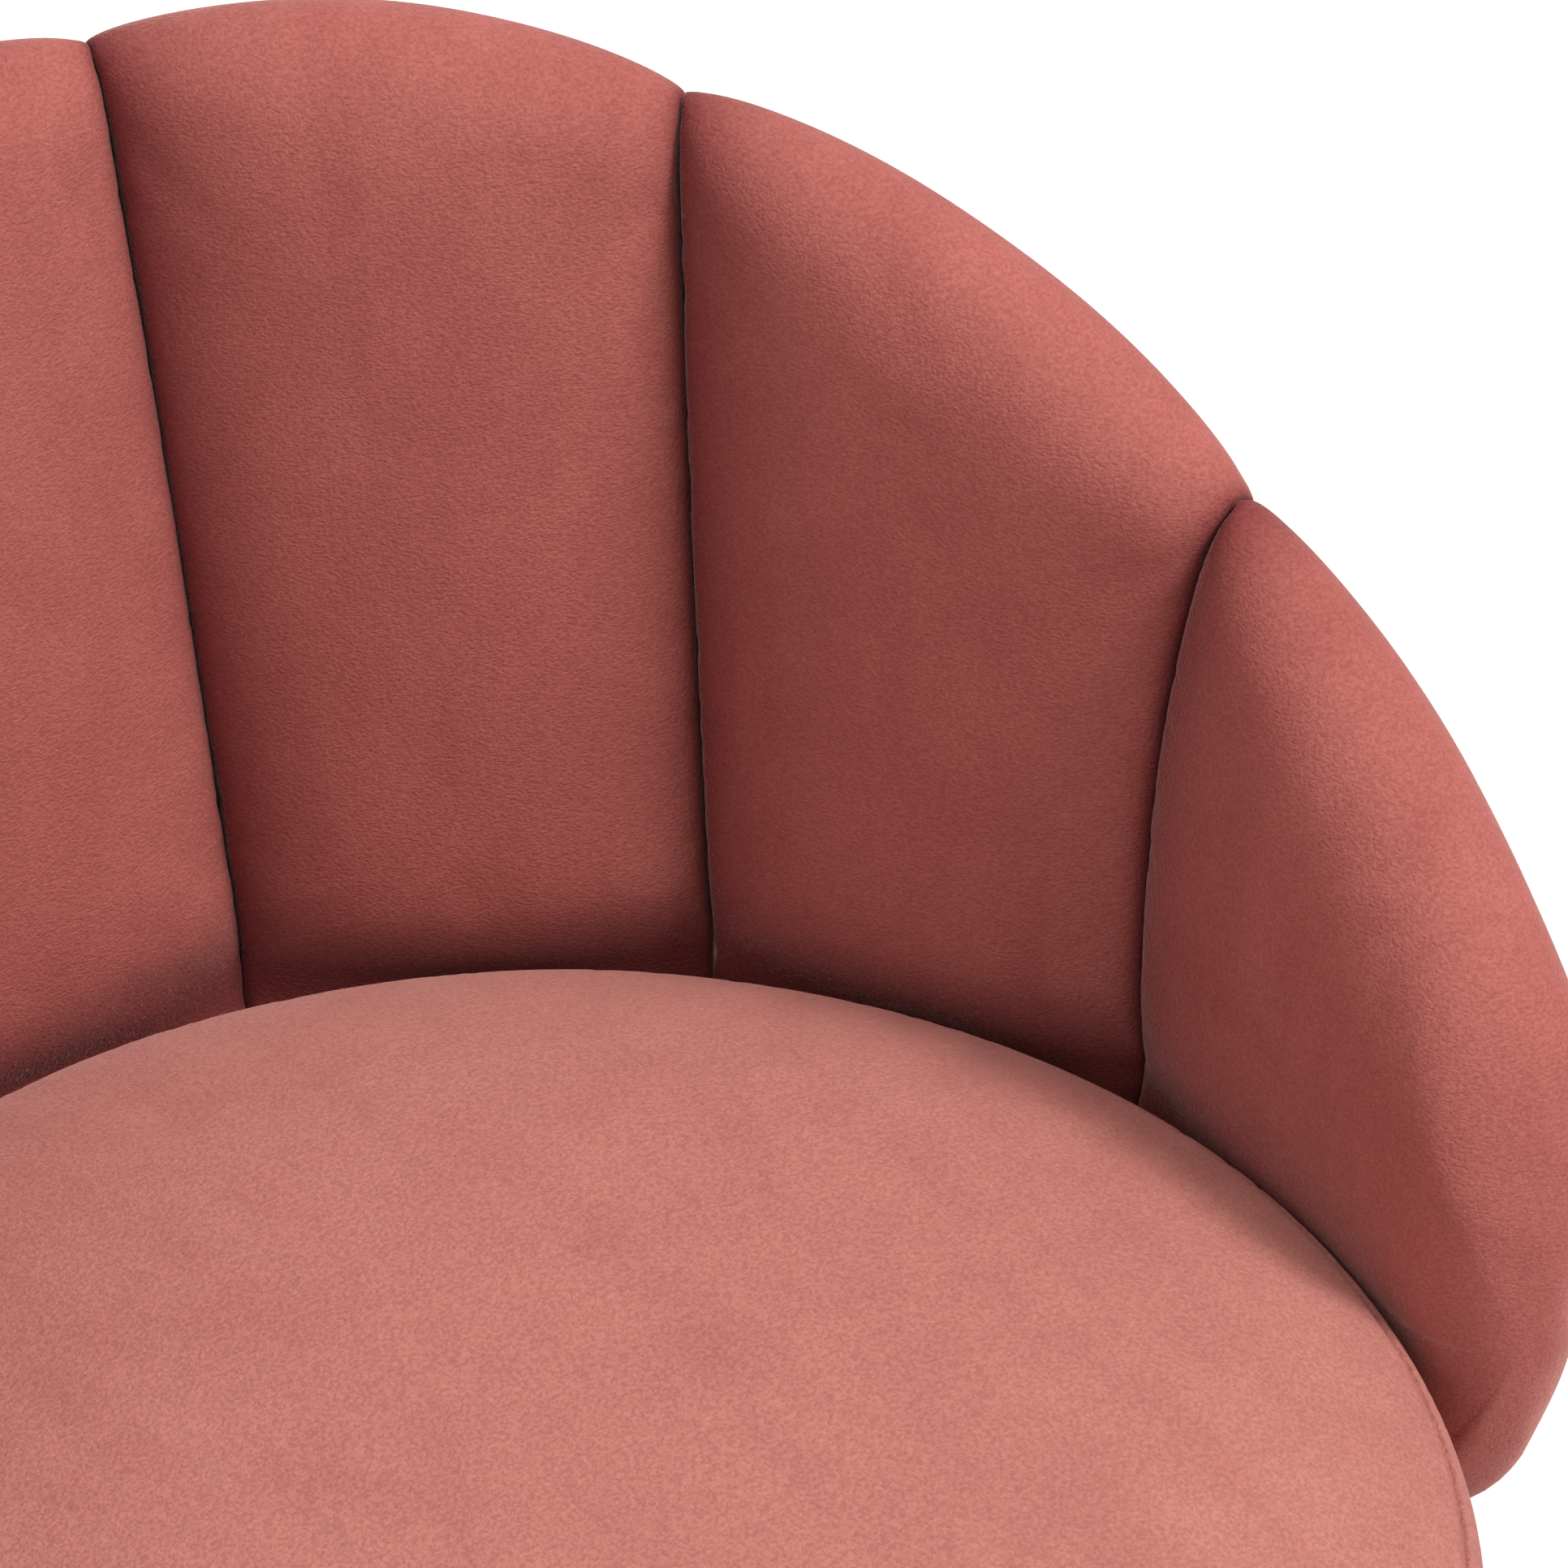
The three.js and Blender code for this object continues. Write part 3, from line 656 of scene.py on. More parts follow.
@dataclass
class PressureRoom:
    """Blows up all the pads together, as filling pushes a cover tight between its seams."""

    frames: int = 20
    pressure: float = 4.0
    stiffness: float = 12.0
    jobs: list[SwellJob] = field(default_factory=list)

    def add(self, piece: bpy.types.Object, held: np.ndarray, cap: float) -> None:
        """Puts a pad in the room.

        Args:
            piece: the pad, slightly smaller than it ends up.
            held: how firmly each vertex is held, 0..1.
            cap: the furthest that a vertex may move, in metres.
        """
        self.jobs.append(SwellJob(piece, held, cap))

    def run(self) -> None:
        """Runs the cloth on every pad, takes up the result and removes the modifiers."""
        for job in self.jobs:
            self._dress(job)
        scene = bpy.context.scene
        scene.frame_start = 1
        scene.frame_end = self.frames
        for number in range(1, self.frames + 1):
            scene.frame_set(number)
        graph = bpy.context.evaluated_depsgraph_get()
        for job in self.jobs:
            before = coordinates(job.piece)
            shift = coordinates(job.piece.evaluated_get(graph)) - before
            length = np.linalg.norm(shift, axis=1, keepdims=True)
            allowed = job.cap * np.tanh(length / job.cap)
            job.piece.modifiers.clear()
            job.piece.vertex_groups.clear()
            move_points(job.piece, before + shift * allowed / np.maximum(length, 1e-9))
            LOG.info("%s swelled by up to %.1f mm", job.piece.name, float(allowed.max()) / MM)
        scene.frame_set(1)

    def _dress(self, job: SwellJob) -> None:
        """Gives one pad its cloth settings."""
        group = job.piece.vertex_groups.new(name="held")
        for index in np.nonzero(job.held > 0)[0]:
            group.add([int(index)], float(job.held[index]), "REPLACE")
        cloth = job.piece.modifiers.new("cloth", "CLOTH")
        settings = {"quality": 6, "mass": 0.3, "use_pressure": True,
                    "uniform_pressure_force": self.pressure, "vertex_group_mass": group.name,
                    "tension_stiffness": self.stiffness, "compression_stiffness": self.stiffness,
                    "shear_stiffness": self.stiffness / 2, "bending_stiffness": 0.5}
        for name, value in settings.items():
            setattr(cloth.settings, name, value)
        cloth.settings.effector_weights.gravity = 0.0
        cloth.collision_settings.use_collision = False
        cloth.point_cache.frame_start = 1
        cloth.point_cache.frame_end = self.frames


# ---- The frame's sizes that the soft pieces are fitted to -------------------------


@dataclass(frozen=True)
class Envelope:
    """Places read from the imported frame, in metres."""

    rim: float
    seat_radius: float
    crown: float
    hoop_radius: float
    foam_bottom: float
    drum_bottom: float
    drum_top: float
    drum_radius: float
    border_drop: float = 0.083
    gap: float = 0.4 * MM

    @classmethod
    def measured(cls) -> "Envelope":
        """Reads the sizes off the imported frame."""
        cover_low, cover_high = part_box("seat_cover")
        hoop_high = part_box("drum_hoop")[1]
        drum_low, drum_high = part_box("drum_cover")
        rim = cover_low.z + cls.border_drop
        return cls(rim=rim, seat_radius=cover_high.x, crown=cover_high.z - rim, hoop_radius=hoop_high.x,
                   foam_bottom=hoop_high.z + cls.gap, drum_bottom=drum_low.z, drum_top=drum_high.z,
                   drum_radius=drum_high.x)


# ---- The back and arms ------------------------------------------------------------


@dataclass
class ShellForm:
    """The surface through the middle of the petals, by angle from the back and height from the rim."""

    envelope: Envelope
    stand_off: float = 0.043
    flare: float = 0.117
    flare_growth: float = 0.23
    lean: float = 0.097
    tuck_drop: float = 0.100
    tuck_stand_off: float = 0.011
    front_narrowing: float = 0.0132
    back_drop: float = 0.188
    arm_drop: float = 0.056
    arm_front: float = 1.5 * math.pi / 3.2
    fan: float = math.radians(2.2)
    fan_middle: float = math.radians(72.3)
    fan_width: float = math.radians(30)
    unfold_steps: int = 8
    crest_step: float = math.radians(15)
    crest: tuple[float, ...] = (0.290, 0.288, 0.282, 0.260, 0.222, 0.175, 0.122, 0.069)

    def crest_at(self, angle: np.ndarray) -> np.ndarray:
        """Height of the middle line's top at an angle."""
        return smooth_through(self.crest, np.abs(angle) / self.crest_step)

    def fan_at(self, angle: np.ndarray, share: np.ndarray | float) -> np.ndarray:
        """How far the petals beside the arms lean forwards, as an angle.

        Args:
            angle: from the back's centre.
            share: how far up the petal, 0 at the rim and 1 at its top.

        Returns:
            The turn at each place.
        """
        near = np.clip(1 - ((np.abs(angle) - self.fan_middle) / self.fan_width) ** 2, 0, 1)
        return np.sign(angle) * self.fan * near ** 2 * np.clip(share, 0, 1.2) ** 3

    def hem_at(self, angle: np.ndarray) -> np.ndarray:
        """Height of the shell's lowest edge at an angle."""
        share = np.minimum(np.abs(angle) / self.arm_front, 1) ** 4
        return -(self.back_drop + (self.arm_drop - self.back_drop) * share)

    def ring_at(self, angle: np.ndarray, height: np.ndarray) -> tuple[np.ndarray, np.ndarray]:
        """Radius and outward slope of the surface.

        Args:
            angle: from the back's centre.
            height: from the rim.

        Returns:
            The radius and the slope at each place.
        """
        ring = self.envelope.seat_radius + self.stand_off
        tuck = self.envelope.seat_radius + self.tuck_stand_off
        up = np.maximum(height, 0)
        above = ring + self.flare * up + self.flare_growth * up ** 2
        t = np.clip(-height / self.tuck_drop, 0, 1)
        below = (ring * (2 * t ** 3 - 3 * t ** 2 + 1) + tuck * (3 * t ** 2 - 2 * t ** 3)
                 - self.flare * self.tuck_drop * (t ** 3 - 2 * t ** 2 + t))
        fall = (ring - tuck) * 6 * (t - t ** 2) / self.tuck_drop + self.flare * (3 * t ** 2 - 4 * t + 1)
        radius = np.where(height >= 0, above, below)
        slope = np.where(height >= 0, self.flare + 2 * self.flare_growth * up, np.where(t < 1, fall, 0))
        return radius - self.front_narrowing * (1 - np.cos(angle)) / 2, slope

    def to_space(self, angle: np.ndarray, radius: np.ndarray, height: np.ndarray) -> np.ndarray:
        """Turns angle, radius and height from the rim into places in space."""
        turned = angle + self.fan_at(angle, np.maximum(height, 0) / self.crest_at(angle))
        east = radius * np.sin(turned)
        north = radius * np.cos(turned) + self.lean * np.maximum(height, 0)
        return np.stack([east, north, height + self.envelope.rim], -1)

    def from_space(self, points: np.ndarray) -> tuple[np.ndarray, np.ndarray, np.ndarray]:
        """Turns places in space into angle, radius and height from the rim."""
        height = points[:, 2] - self.envelope.rim
        north = points[:, 1] - self.lean * np.maximum(height, 0)
        turned = np.arctan2(points[:, 0], north)
        angle = turned
        for _ in range(self.unfold_steps):
            angle = turned - self.fan_at(angle, np.maximum(height, 0) / self.crest_at(angle))
        return angle, np.hypot(points[:, 0], north), height


@dataclass
class Petal:
    """One upholstered pad of the back or an arm, wrapped round the plywood shell."""

    shell: ShellForm
    number: int
    count: int = 7
    seams: tuple[float, ...] = (15.8, 44.0, 72.3, 105.0)
    crown_inside: float = 0.0375
    crown_outside: float = 0.030
    crown_top: float = 0.033
    seam_inside: float = 0.0105
    seam_outside: float = 0.017
    seam_top: float = 0.0255
    seam_gap: float = 0.06 * MM
    roundness: float = 2.1
    arm_start: float = math.radians(60)
    arm_blend: float = math.radians(35)
    foot_share: float = 0.6
    arm_foot_share: float = 0.92
    hem_fade_rows: int = 12
    foot_low: float = -0.016
    foot_high: float = 0.030
    filled_low: float = -0.060
    filled_high: float = -0.020
    seat_gap: float = 1.2 * MM
    beside_seat: float = 0.004
    press_gap: float = 0.8 * MM
    press_height: float = 0.006
    unevenness: float = 0.6 * MM
    hem_round: float = 0.35
    arm_hem_round: float = 0.75
    nose_length: float = math.radians(8.5)
    nose_reach: float = math.radians(2.6)
    nose_squareness: float = 2.8
    nose_least: float = 0.0004
    edge_hold: tuple[float, float] = (0.94, 0.05)
    nose_hold: tuple[float, float] = (0.99, 0.01)
    columns: int = 36
    face_rows: int = 70
    cap_rows: int = 14
    hem_rows: int = 6
    swell_cap: float = 0.0065
    pucker_depth: float = 1.1 * MM
    pucker_reach: float = 0.011
    pucker_size: float = 0.0075
    # Painted shade: how far beside the seams, how dark, and up to what height and angle the velvet's colour
    # is darkened.
    painted_shade_left: float = 0.018
    painted_shade_right: float = 0.003
    seam_painted_shade: float = 0.9
    fold_painted_shadow: float = 0.75
    fold_shadow_height: float = 0.028
    painted_shade_end: float = math.radians(96)
    painted_shade_blend: float = math.radians(20)
    held: np.ndarray = field(init=False, default=None)

    def _edge(self, place: float) -> float:
        """Angle of a sewn edge, from its place in pitches left or right of the back's centre."""
        return math.copysign(math.radians(self.seams[int(abs(place))]), place)

    @property
    def left(self) -> float:
        """Angle of the petal's left edge from the back's centre."""
        return self._edge(self.number - 1 - self.count / 2)

    @property
    def right(self) -> float:
        """Angle of the petal's right edge from the back's centre."""
        return self._edge(self.number - self.count / 2)

    @property
    def middle(self) -> float:
        """Angle of the petal's middle from the back's centre."""
        return (self.left + self.right) / 2

    @property
    def arm_side(self) -> int:
        """-1 or 1 for the petal that ends an arm, 0 for the others."""
        return {1: -1, self.count: 1}.get(self.number, 0)

    def _section(self, angle: np.ndarray, across: np.ndarray) -> np.ndarray:
        """Closed sections through the pad.

        Args:
            angle: of each column.
            across: of each column, -1..1.

        Returns:
            Radius and height of each point, as columns x points x 2.
        """
        shell = self.shell
        bulge = np.sqrt(1 - np.abs(across) ** self.roundness)
        if self.arm_side:
            bulge = np.where(across * self.arm_side > 0, 1.0, bulge)
        share = np.linspace(0, 1, self.face_rows + 1)
        hem = shell.hem_at(angle)
        crest = shell.crest_at(angle + shell.fan_at(angle, 1.0))
        height = hem[:, None] + (crest - hem)[:, None] * share
        radius, slope = shell.ring_at(angle[:, None], height)
        unit = 1 / np.hypot(1, slope)
        pairs = ((self.seam_inside, self.crown_inside), (self.seam_outside, self.crown_outside),
                 (self.seam_top, self.crown_top))
        inside, outside, top = ((seam + (crown - seam) * bulge)[:, None] for seam, crown in pairs)
        arm = np.clip((np.abs(angle) - self.arm_start) / self.arm_blend, 0, 1)[:, None]
        inside = self._tuck(inside, radius, height, arm)
        outside = np.broadcast_to(outside, inside.shape)
        front = np.stack([radius - inside * unit, height + inside * slope * unit], -1)
        rear = np.stack([radius + outside * unit, height - outside * slope * unit], -1)
        upper = self._turn(radius, height, slope, inside, outside, top, -1, 1)
        fold = top * (self.hem_round + (self.arm_hem_round - self.hem_round) * arm)
        lower = self._turn(radius, height, slope, inside, outside, fold, 0, -1)
        return np.concatenate([front, upper, rear[:, ::-1], lower[:, ::-1]], 1)

    def _tuck(self, inside: np.ndarray, radius: np.ndarray, height: np.ndarray,
              arm: np.ndarray) -> np.ndarray:
        """Tucks the pad's foot in over the seat, and fills the room below the seat's edge.

        Args:
            inside: thickness towards the seat.
            radius: of the middle surface, columns x rows.
            height: of the middle surface.
            arm: 0 at the back and 1 on the arms, by column.

        Returns:
            The thickness towards the seat, columns x rows.
        """
        clear = radius - self.shell.envelope.seat_radius - self.seat_gap
        lift = np.clip((height - self.foot_low) / (self.foot_high - self.foot_low), 0, 1)
        foot = self.foot_share + (self.arm_foot_share - self.foot_share) * arm
        inside = inside * (foot + (1 - foot) * (3 * lift ** 2 - 2 * lift ** 3))
        inside = np.minimum(inside, np.where(height < self.beside_seat, clear, 1.0))
        filled = np.clip((self.filled_high - height) / (self.filled_high - self.filled_low), 0, 1)
        return inside + (np.minimum(clear, self.crown_inside) - inside) * filled

    def _turn(self, radius: np.ndarray, height: np.ndarray, slope: np.ndarray, inside: np.ndarray,
              outside: np.ndarray, reach: np.ndarray, row: int, sign: int) -> np.ndarray:
        """The round turn over the top of the pad, or under its hem.

        Args:
            radius: of the middle surface, columns x rows.
            height: of the middle surface.
            slope: of the middle surface.
            inside: thickness towards the seat.
            outside: thickness away from it.
            reach: how far the turn goes past the middle surface's end.
            row: the row that ends the surface.
            sign: 1 for the top and -1 for the hem.

        Returns:
            The turn's points from inside to outside, without its two ends.
        """
        rows = self.cap_rows if sign > 0 else self.hem_rows
        turn = np.linspace(0, math.pi, rows + 2)[1:-1]
        unit = (1 / np.hypot(1, slope[:, row]))[:, None]
        tilt = slope[:, row][:, None] * unit
        width = np.where(turn < math.pi / 2, inside[:, row][:, None], outside[:, row][:, None])
        out = -np.cos(turn) * width
        rise = sign * np.sin(turn) * reach
        return np.stack([radius[:, row][:, None] + out * unit + rise * tilt,
                         height[:, row][:, None] - out * tilt + rise * unit], -1)

    def _grid(self) -> tuple[np.ndarray, np.ndarray, np.ndarray]:
        """Places of the pad's points.

        Returns:
            Space coordinates (columns x points x 3), how far across each column is and its angle.
        """
        across = np.sin(np.linspace(-math.pi / 2, math.pi / 2, self.columns + 1))
        half = (self.right - self.left) / 2
        angle = self.middle + across * half
        side = self.arm_side
        if side:
            free = across * side > 0
            angle = np.where(free, angle + side * self.nose_reach * np.abs(across) ** 2, angle)
        loops = self._section(angle, across)
        if side:
            end = self.middle + side * (half + self.nose_reach)
            start = end - side * self.nose_length
            share = np.clip((angle - start) / (end - start), 0, 1)
            shrink = np.sqrt(np.maximum(1 - share ** self.nose_squareness, self.nose_least))[:, None, None]
            centre = loops.mean(1, keepdims=True)
            loops = centre + (loops - centre) * shrink
        places = self.shell.to_space(angle[:, None], loops[..., 0], loops[..., 1])
        return places, across, angle

    def build(self, material: bpy.types.Material) -> bpy.types.Object:
        """Makes the pad's starting mesh, with its cloth map.

        Args:
            material: the velvet.

        Returns:
            The pad.
        """
        places, across, angle = self._grid()
        columns, ring = places.shape[:2]
        faces = ring_faces(columns, ring, closed=False)
        for first in (0, (columns - 1) * ring):
            faces.extend(self._end(first, ring))
        pad = new_piece(f"petal_pad_{self.number}", places.reshape(-1, 3), faces, material)
        steps = np.linalg.norm(np.diff(places[columns // 2], axis=0), axis=1)
        along = np.concatenate([[0], np.cumsum(steps)])
        width = (angle - self.middle) * (self.shell.envelope.seat_radius + self.shell.stand_off)
        cloth = np.stack(np.broadcast_arrays(width[:, None], along[None]), -1).reshape(-1, 2)
        write_cloth_map(pad, cloth, along_wrap=float(along[-1]))
        self.held = self._hold(across, ring)
        return pad

    def _end(self, first: int, ring: int) -> list[tuple[int, ...]]:
        """Faces that close one end, as rungs between the two sides of the loop."""
        low = self.hem_rows // 2
        rungs = []
        for step in range(ring // 2 - 1):
            a, b = (ring - low + step) % ring, (ring - low + step + 1) % ring
            c, d = (ring - low - 2 - step) % ring, (ring - low - 1 - step) % ring
            corners = list(dict.fromkeys((a, b, c, d)))
            if len(corners) > 2:
                rungs.append(tuple(first + corner for corner in corners))
        return rungs

    def _hold(self, across: np.ndarray, ring: int) -> np.ndarray:
        """How firmly each point is held: the seams and the hem are sewn down."""
        edge, nose = (np.clip((np.abs(across) - start) / blend, 0, 1)
                      for start, blend in (self.edge_hold, self.nose_hold))
        if self.arm_side:
            edge = np.where(across * self.arm_side > 0, nose, edge)
        rows = np.arange(ring)
        above_hem = np.minimum(rows, np.maximum(ring - self.hem_rows - 1 - rows, 0))
        hem = np.clip(1 - above_hem / self.hem_fade_rows, 0, 1) ** 2
        return np.maximum(edge[:, None], hem[None]).ravel()

    def finish(self, pad: bpy.types.Object) -> None:
        """Presses the pad against its neighbours, refines it, puckers its seams and paints shade into its
        colour.
        """
        self._press(pad)
        subdivide(pad)
        self._pucker(pad)
        self._press(pad)
        self._paint_shade(pad)

    def _paint_shade(self, pad: bpy.types.Object) -> None:
        """Paints shade into the velvet's colour, as a mask: beside the seams and in the fold over the seat.

        The painted shade reaches further into a petal's left flank than into its right one. The painted
        shadow of the fold lies on both faces of the pad and fades out towards the arms' ends.
        """
        angle, radius, height = self.shell.from_space(coordinates(pad))
        painted_shade = np.zeros(len(angle))
        for seam, side in self._seams():
            reach = self.painted_shade_right if side > 0 else self.painted_shade_left
            away = np.abs(angle - seam) * radius
            painted_shade = np.maximum(painted_shade, self.seam_painted_shade * np.exp(-away / reach))
        back = np.clip((self.painted_shade_end - np.abs(angle)) / self.painted_shade_blend, 0, 1)
        fold = self.fold_painted_shadow * back * np.clip(1 - height / self.fold_shadow_height, 0, 1)
        write_mask(pad, PAINTED_SHADE, np.maximum(painted_shade, fold))

    def _seams(self) -> list[tuple[float, int]]:
        """Angle of each sewn edge, and which side of the petal it is on."""
        edges = [(self.left, -1), (self.right, 1)]
        return [(angle, side) for angle, side in edges if side != self.arm_side]

    def _press(self, pad: bpy.types.Object) -> None:
        """Keeps the pad between its seams and clear of the seat and the drum."""
        points = coordinates(pad)
        angle, radius, height = self.shell.from_space(points)
        gap = self.seam_gap / np.maximum(radius, 0.1)
        for seam, side in self._seams():
            limit = seam - side * gap
            angle = np.minimum(angle, limit) if side > 0 else np.maximum(angle, limit)
        low = np.where(height < self.press_height, self.shell.envelope.seat_radius + self.press_gap, 0)
        radius = np.maximum(radius, low)
        move_points(pad, self.shell.to_space(angle, radius, height))

    def _pucker(self, pad: bpy.types.Object) -> None:
        """Draws short creases into the cloth along its seams."""
        points = coordinates(pad)
        angle, radius, height = self.shell.from_space(points)
        shift = np.zeros(len(points))
        for seam, side in self._seams():
            away = np.abs(angle - seam) * radius
            near = np.nonzero(away < 3 * self.pucker_reach)[0]
            if not len(near):
                continue
            rows = np.stack([radius[near], height[near]], 1)
            crease = ripple(rows, self.pucker_size, 11.0 + 7.3 * round(math.degrees(seam)) + side)
            fade = np.exp(-(away[near] / self.pucker_reach) ** 2)
            reach = 0.45 + 0.55 * ripple(rows, 0.05, 3.0 + seam) ** 2
            shift[near] -= self.pucker_depth * np.clip(crease - 0.05, 0, 1) * 2 * fade * reach
        soft = ripple(points, 0.07, 0.7 * self.number)
        shift += self.unevenness * soft
        move_points(pad, points + normals(pad) * shift[:, None])


@dataclass
class PetalBack:
    """The back and arms: seven pads side by side."""

    envelope: Envelope
    rack: FinishRack
    count: int = 7
    pads: list[tuple[Petal, bpy.types.Object]] = field(default_factory=list)

    def build(self, room: PressureRoom) -> None:
        """Makes the pads and hands them to the pressure room."""
        shell = ShellForm(self.envelope)
        for number in range(1, self.count + 1):
            petal = Petal(shell, number, self.count)
            pad = petal.build(self.rack.velvet)
            room.add(pad, petal.held, petal.swell_cap)
            self.pads.append((petal, pad))

    def finish(self) -> None:
        """Finishes each pad and puts it on the chair in place of its plain solid."""
        for petal, pad in self.pads:
            petal.finish(pad)
            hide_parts(f"petal_{petal.number}")
            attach(pad, "chair")
            LOG.info("%s: %d faces", pad.name, len(pad.data.polygons))


# ---- The seat ---------------------------------------------------------------------


@dataclass
class SeatCushion:
    """The round seat: a domed top panel sewn to an upright border."""

    envelope: Envelope
    rack: FinishRack
    steps: int = 80
    fullness: float = 2.5
    shoulder: float = 0.5
    swell_room: float = 3 * MM
    seam_inset: float = 0.0052
    edge_steps: tuple[float, ...] = (0.3, 0.8, 1.6, 2.8, 4.6, 7.0)
    edge_fall: float = 1.6
    side_rows: int = 12
    foot_gap: float = 0.4 * MM
    foot_corner: float = 3 * MM
    panel_hold: tuple[float, float] = (0.006, 0.004)
    border_hold: tuple[float, float] = (0.004, 0.006)
    foot_hold: tuple[float, float] = (0.014, 0.008)
    seam_depth: float = 1.3 * MM
    seam_width: float = 2.2 * MM
    swell_cap: float = 0.005
    pucker_depth: float = 0.4 * MM
    pucker_reach: float = 0.008
    pucker_size: float = 0.005
    unevenness: float = 0.7 * MM
    spill: float = 0.4 * MM
    # Painted shade on the border below the seam, and the drop over which it fades in.
    border_painted_shade: float = 0.22
    border_shade_fade: float = 0.012
    cushion: bpy.types.Object = field(init=False, default=None)

    def _dome(self, radius: np.ndarray) -> np.ndarray:
        """Height of the top panel above the rim."""
        share = np.clip(radius / self.envelope.seat_radius, 0, 1) ** self.fullness
        return (self.envelope.crown - self.swell_room) * (1 - share) ** self.shoulder

    def _disc(self) -> tuple[np.ndarray, list[int]]:
        """Points of a round panel on a square grid, closer near its edge.

        Returns:
            Points as rows of x and y inside a circle of radius 1, and the edge's indices in order.
        """
        line = np.linspace(-1, 1, self.steps + 1)
        u, v = np.meshgrid(line, line, indexing="ij")
        x = u * np.sqrt(1 - v ** 2 / 2)
        y = v * np.sqrt(1 - u ** 2 / 2)
        reach = np.hypot(x, y)
        closer = np.sin(reach * math.pi / 2) / np.maximum(reach, 1e-9)
        points = np.stack([x * closer, y * closer], -1).reshape(-1, 2)
        n, m = self.steps, self.steps + 1
        edge = [i * m for i in range(n)]
        edge += [n * m + j for j in range(n)]
        edge += [i * m + n for i in range(n, 0, -1)]
        edge += [j for j in range(n, 0, -1)]
        return points, edge

    def _border(self) -> list[tuple[float, float]]:
        """Radius and height of each row below the seam, down the side and under the foam."""
        space = self.envelope
        seam = space.seat_radius - self.seam_inset
        top = float(self._dome(np.array([seam]))[0])
        rows = []
        for step in self.edge_steps:
            share = step / self.edge_steps[-1]
            rows.append((seam + self.seam_inset * math.sin(share * math.pi / 2),
                         top - step * MM * self.edge_fall))
        low = rows[-1][1]
        bottom = -space.border_drop + self.foot_gap
        for share in np.linspace(0, 1, self.side_rows)[1:]:
            rows.append((space.seat_radius, low + (bottom + self.foot_corner - low) * share))
        rows.append((space.seat_radius - 1 * MM, bottom + 1 * MM))
        rows.append((space.seat_radius - self.foot_corner, bottom))
        inner = space.hoop_radius + space.gap
        rows.append(((space.seat_radius + inner) / 2, bottom))
        rows.append((inner + 1 * MM, bottom))
        under = space.foam_bottom - space.rim
        rows.append((inner, bottom + 1 * MM))
        rows.append((inner, under - 0.5 * MM))
        return rows

    def build(self, room: PressureRoom) -> None:
        """Makes the cushion and hands it to the pressure room."""
        seam = self.envelope.seat_radius - self.seam_inset
        disc, edge = self._disc()
        flat = disc * seam
        reach = np.hypot(flat[:, 0], flat[:, 1])
        dip = self.seam_depth * np.exp(-((seam - reach) / self.seam_width) ** 2)
        height = self._dome(reach) - dip
        points = [np.column_stack([flat * (1 - dip / seam)[:, None], height])]
        turn = disc[edge] / np.linalg.norm(disc[edge], axis=1, keepdims=True)
        for radius, level in self._border():
            points.append(np.column_stack([turn * radius, np.full(len(edge), level)]))
        under = disc * (self.envelope.hoop_radius - 3 * MM)
        level = self.envelope.foam_bottom - self.envelope.rim
        points.append(np.column_stack([under, np.full(len(under), level)]))
        places = np.concatenate(points)
        places[:, 2] += self.envelope.rim
        self.cushion = new_piece("seat_cushion", places, self._faces(edge, len(points) - 2),
                                 self.rack.seat_velvet_painted_lighter)
        write_cloth_map(self.cushion, self._cloth(places, len(disc)))
        room.add(self.cushion, self._hold(places, reach, seam), self.swell_cap)

    def _faces(self, edge: list[int], rows: int) -> list[tuple[int, ...]]:
        """Faces of the panel, the border's rows and the underside."""
        n, m = self.steps, self.steps + 1
        panel = [(i * m + j, (i + 1) * m + j, (i + 1) * m + j + 1, i * m + j + 1)
                 for i in range(n) for j in range(n)]
        count, first = len(edge), m * m
        under = first + rows * count
        loops = [edge, *(range(first + row * count, first + (row + 1) * count) for row in range(rows))]
        loops.append([under + corner for corner in edge])
        faces = list(panel)
        for upper, lower in zip(loops, loops[1:]):
            for k in range(count):
                after = (k + 1) % count
                faces.append((upper[k], upper[after], lower[after], lower[k]))
        faces += [tuple(under + corner for corner in reversed(face)) for face in panel]
        return faces

    def _cloth(self, places: np.ndarray, panel: int) -> np.ndarray:
        """Where each point lies on its cloth: flat on the panel, round and down on the border."""
        cloth = places[:, :2].copy()
        side = places[panel:]
        cloth[panel:, 0] = np.abs(np.arctan2(side[:, 0], side[:, 1])) * self.envelope.seat_radius
        cloth[panel:, 1] = side[:, 2]
        return cloth

    def _hold(self, places: np.ndarray, reach: np.ndarray, seam: float) -> np.ndarray:
        """How firmly each point is held: the seam, the border's foot and the underside."""
        held = np.zeros(len(places))
        panel_start, panel_blend = self.panel_hold
        border_start, border_blend = self.border_hold
        foot_start, foot_blend = self.foot_hold
        held[:len(reach)] = np.clip((reach - seam + panel_start) / panel_blend, 0, 1)
        side = places[len(reach):]
        level = side[:, 2] - self.envelope.rim
        near_seam = np.clip((level + border_start) / border_blend, 0, 1)
        foot = np.clip((-level - self.envelope.border_drop + foot_start) / foot_blend, 0, 1)
        inner = np.hypot(side[:, 0], side[:, 1]) < self.envelope.seat_radius - 0.002
        held[len(reach):] = np.maximum(np.maximum(near_seam, foot), inner & (level < -0.02))
        return held

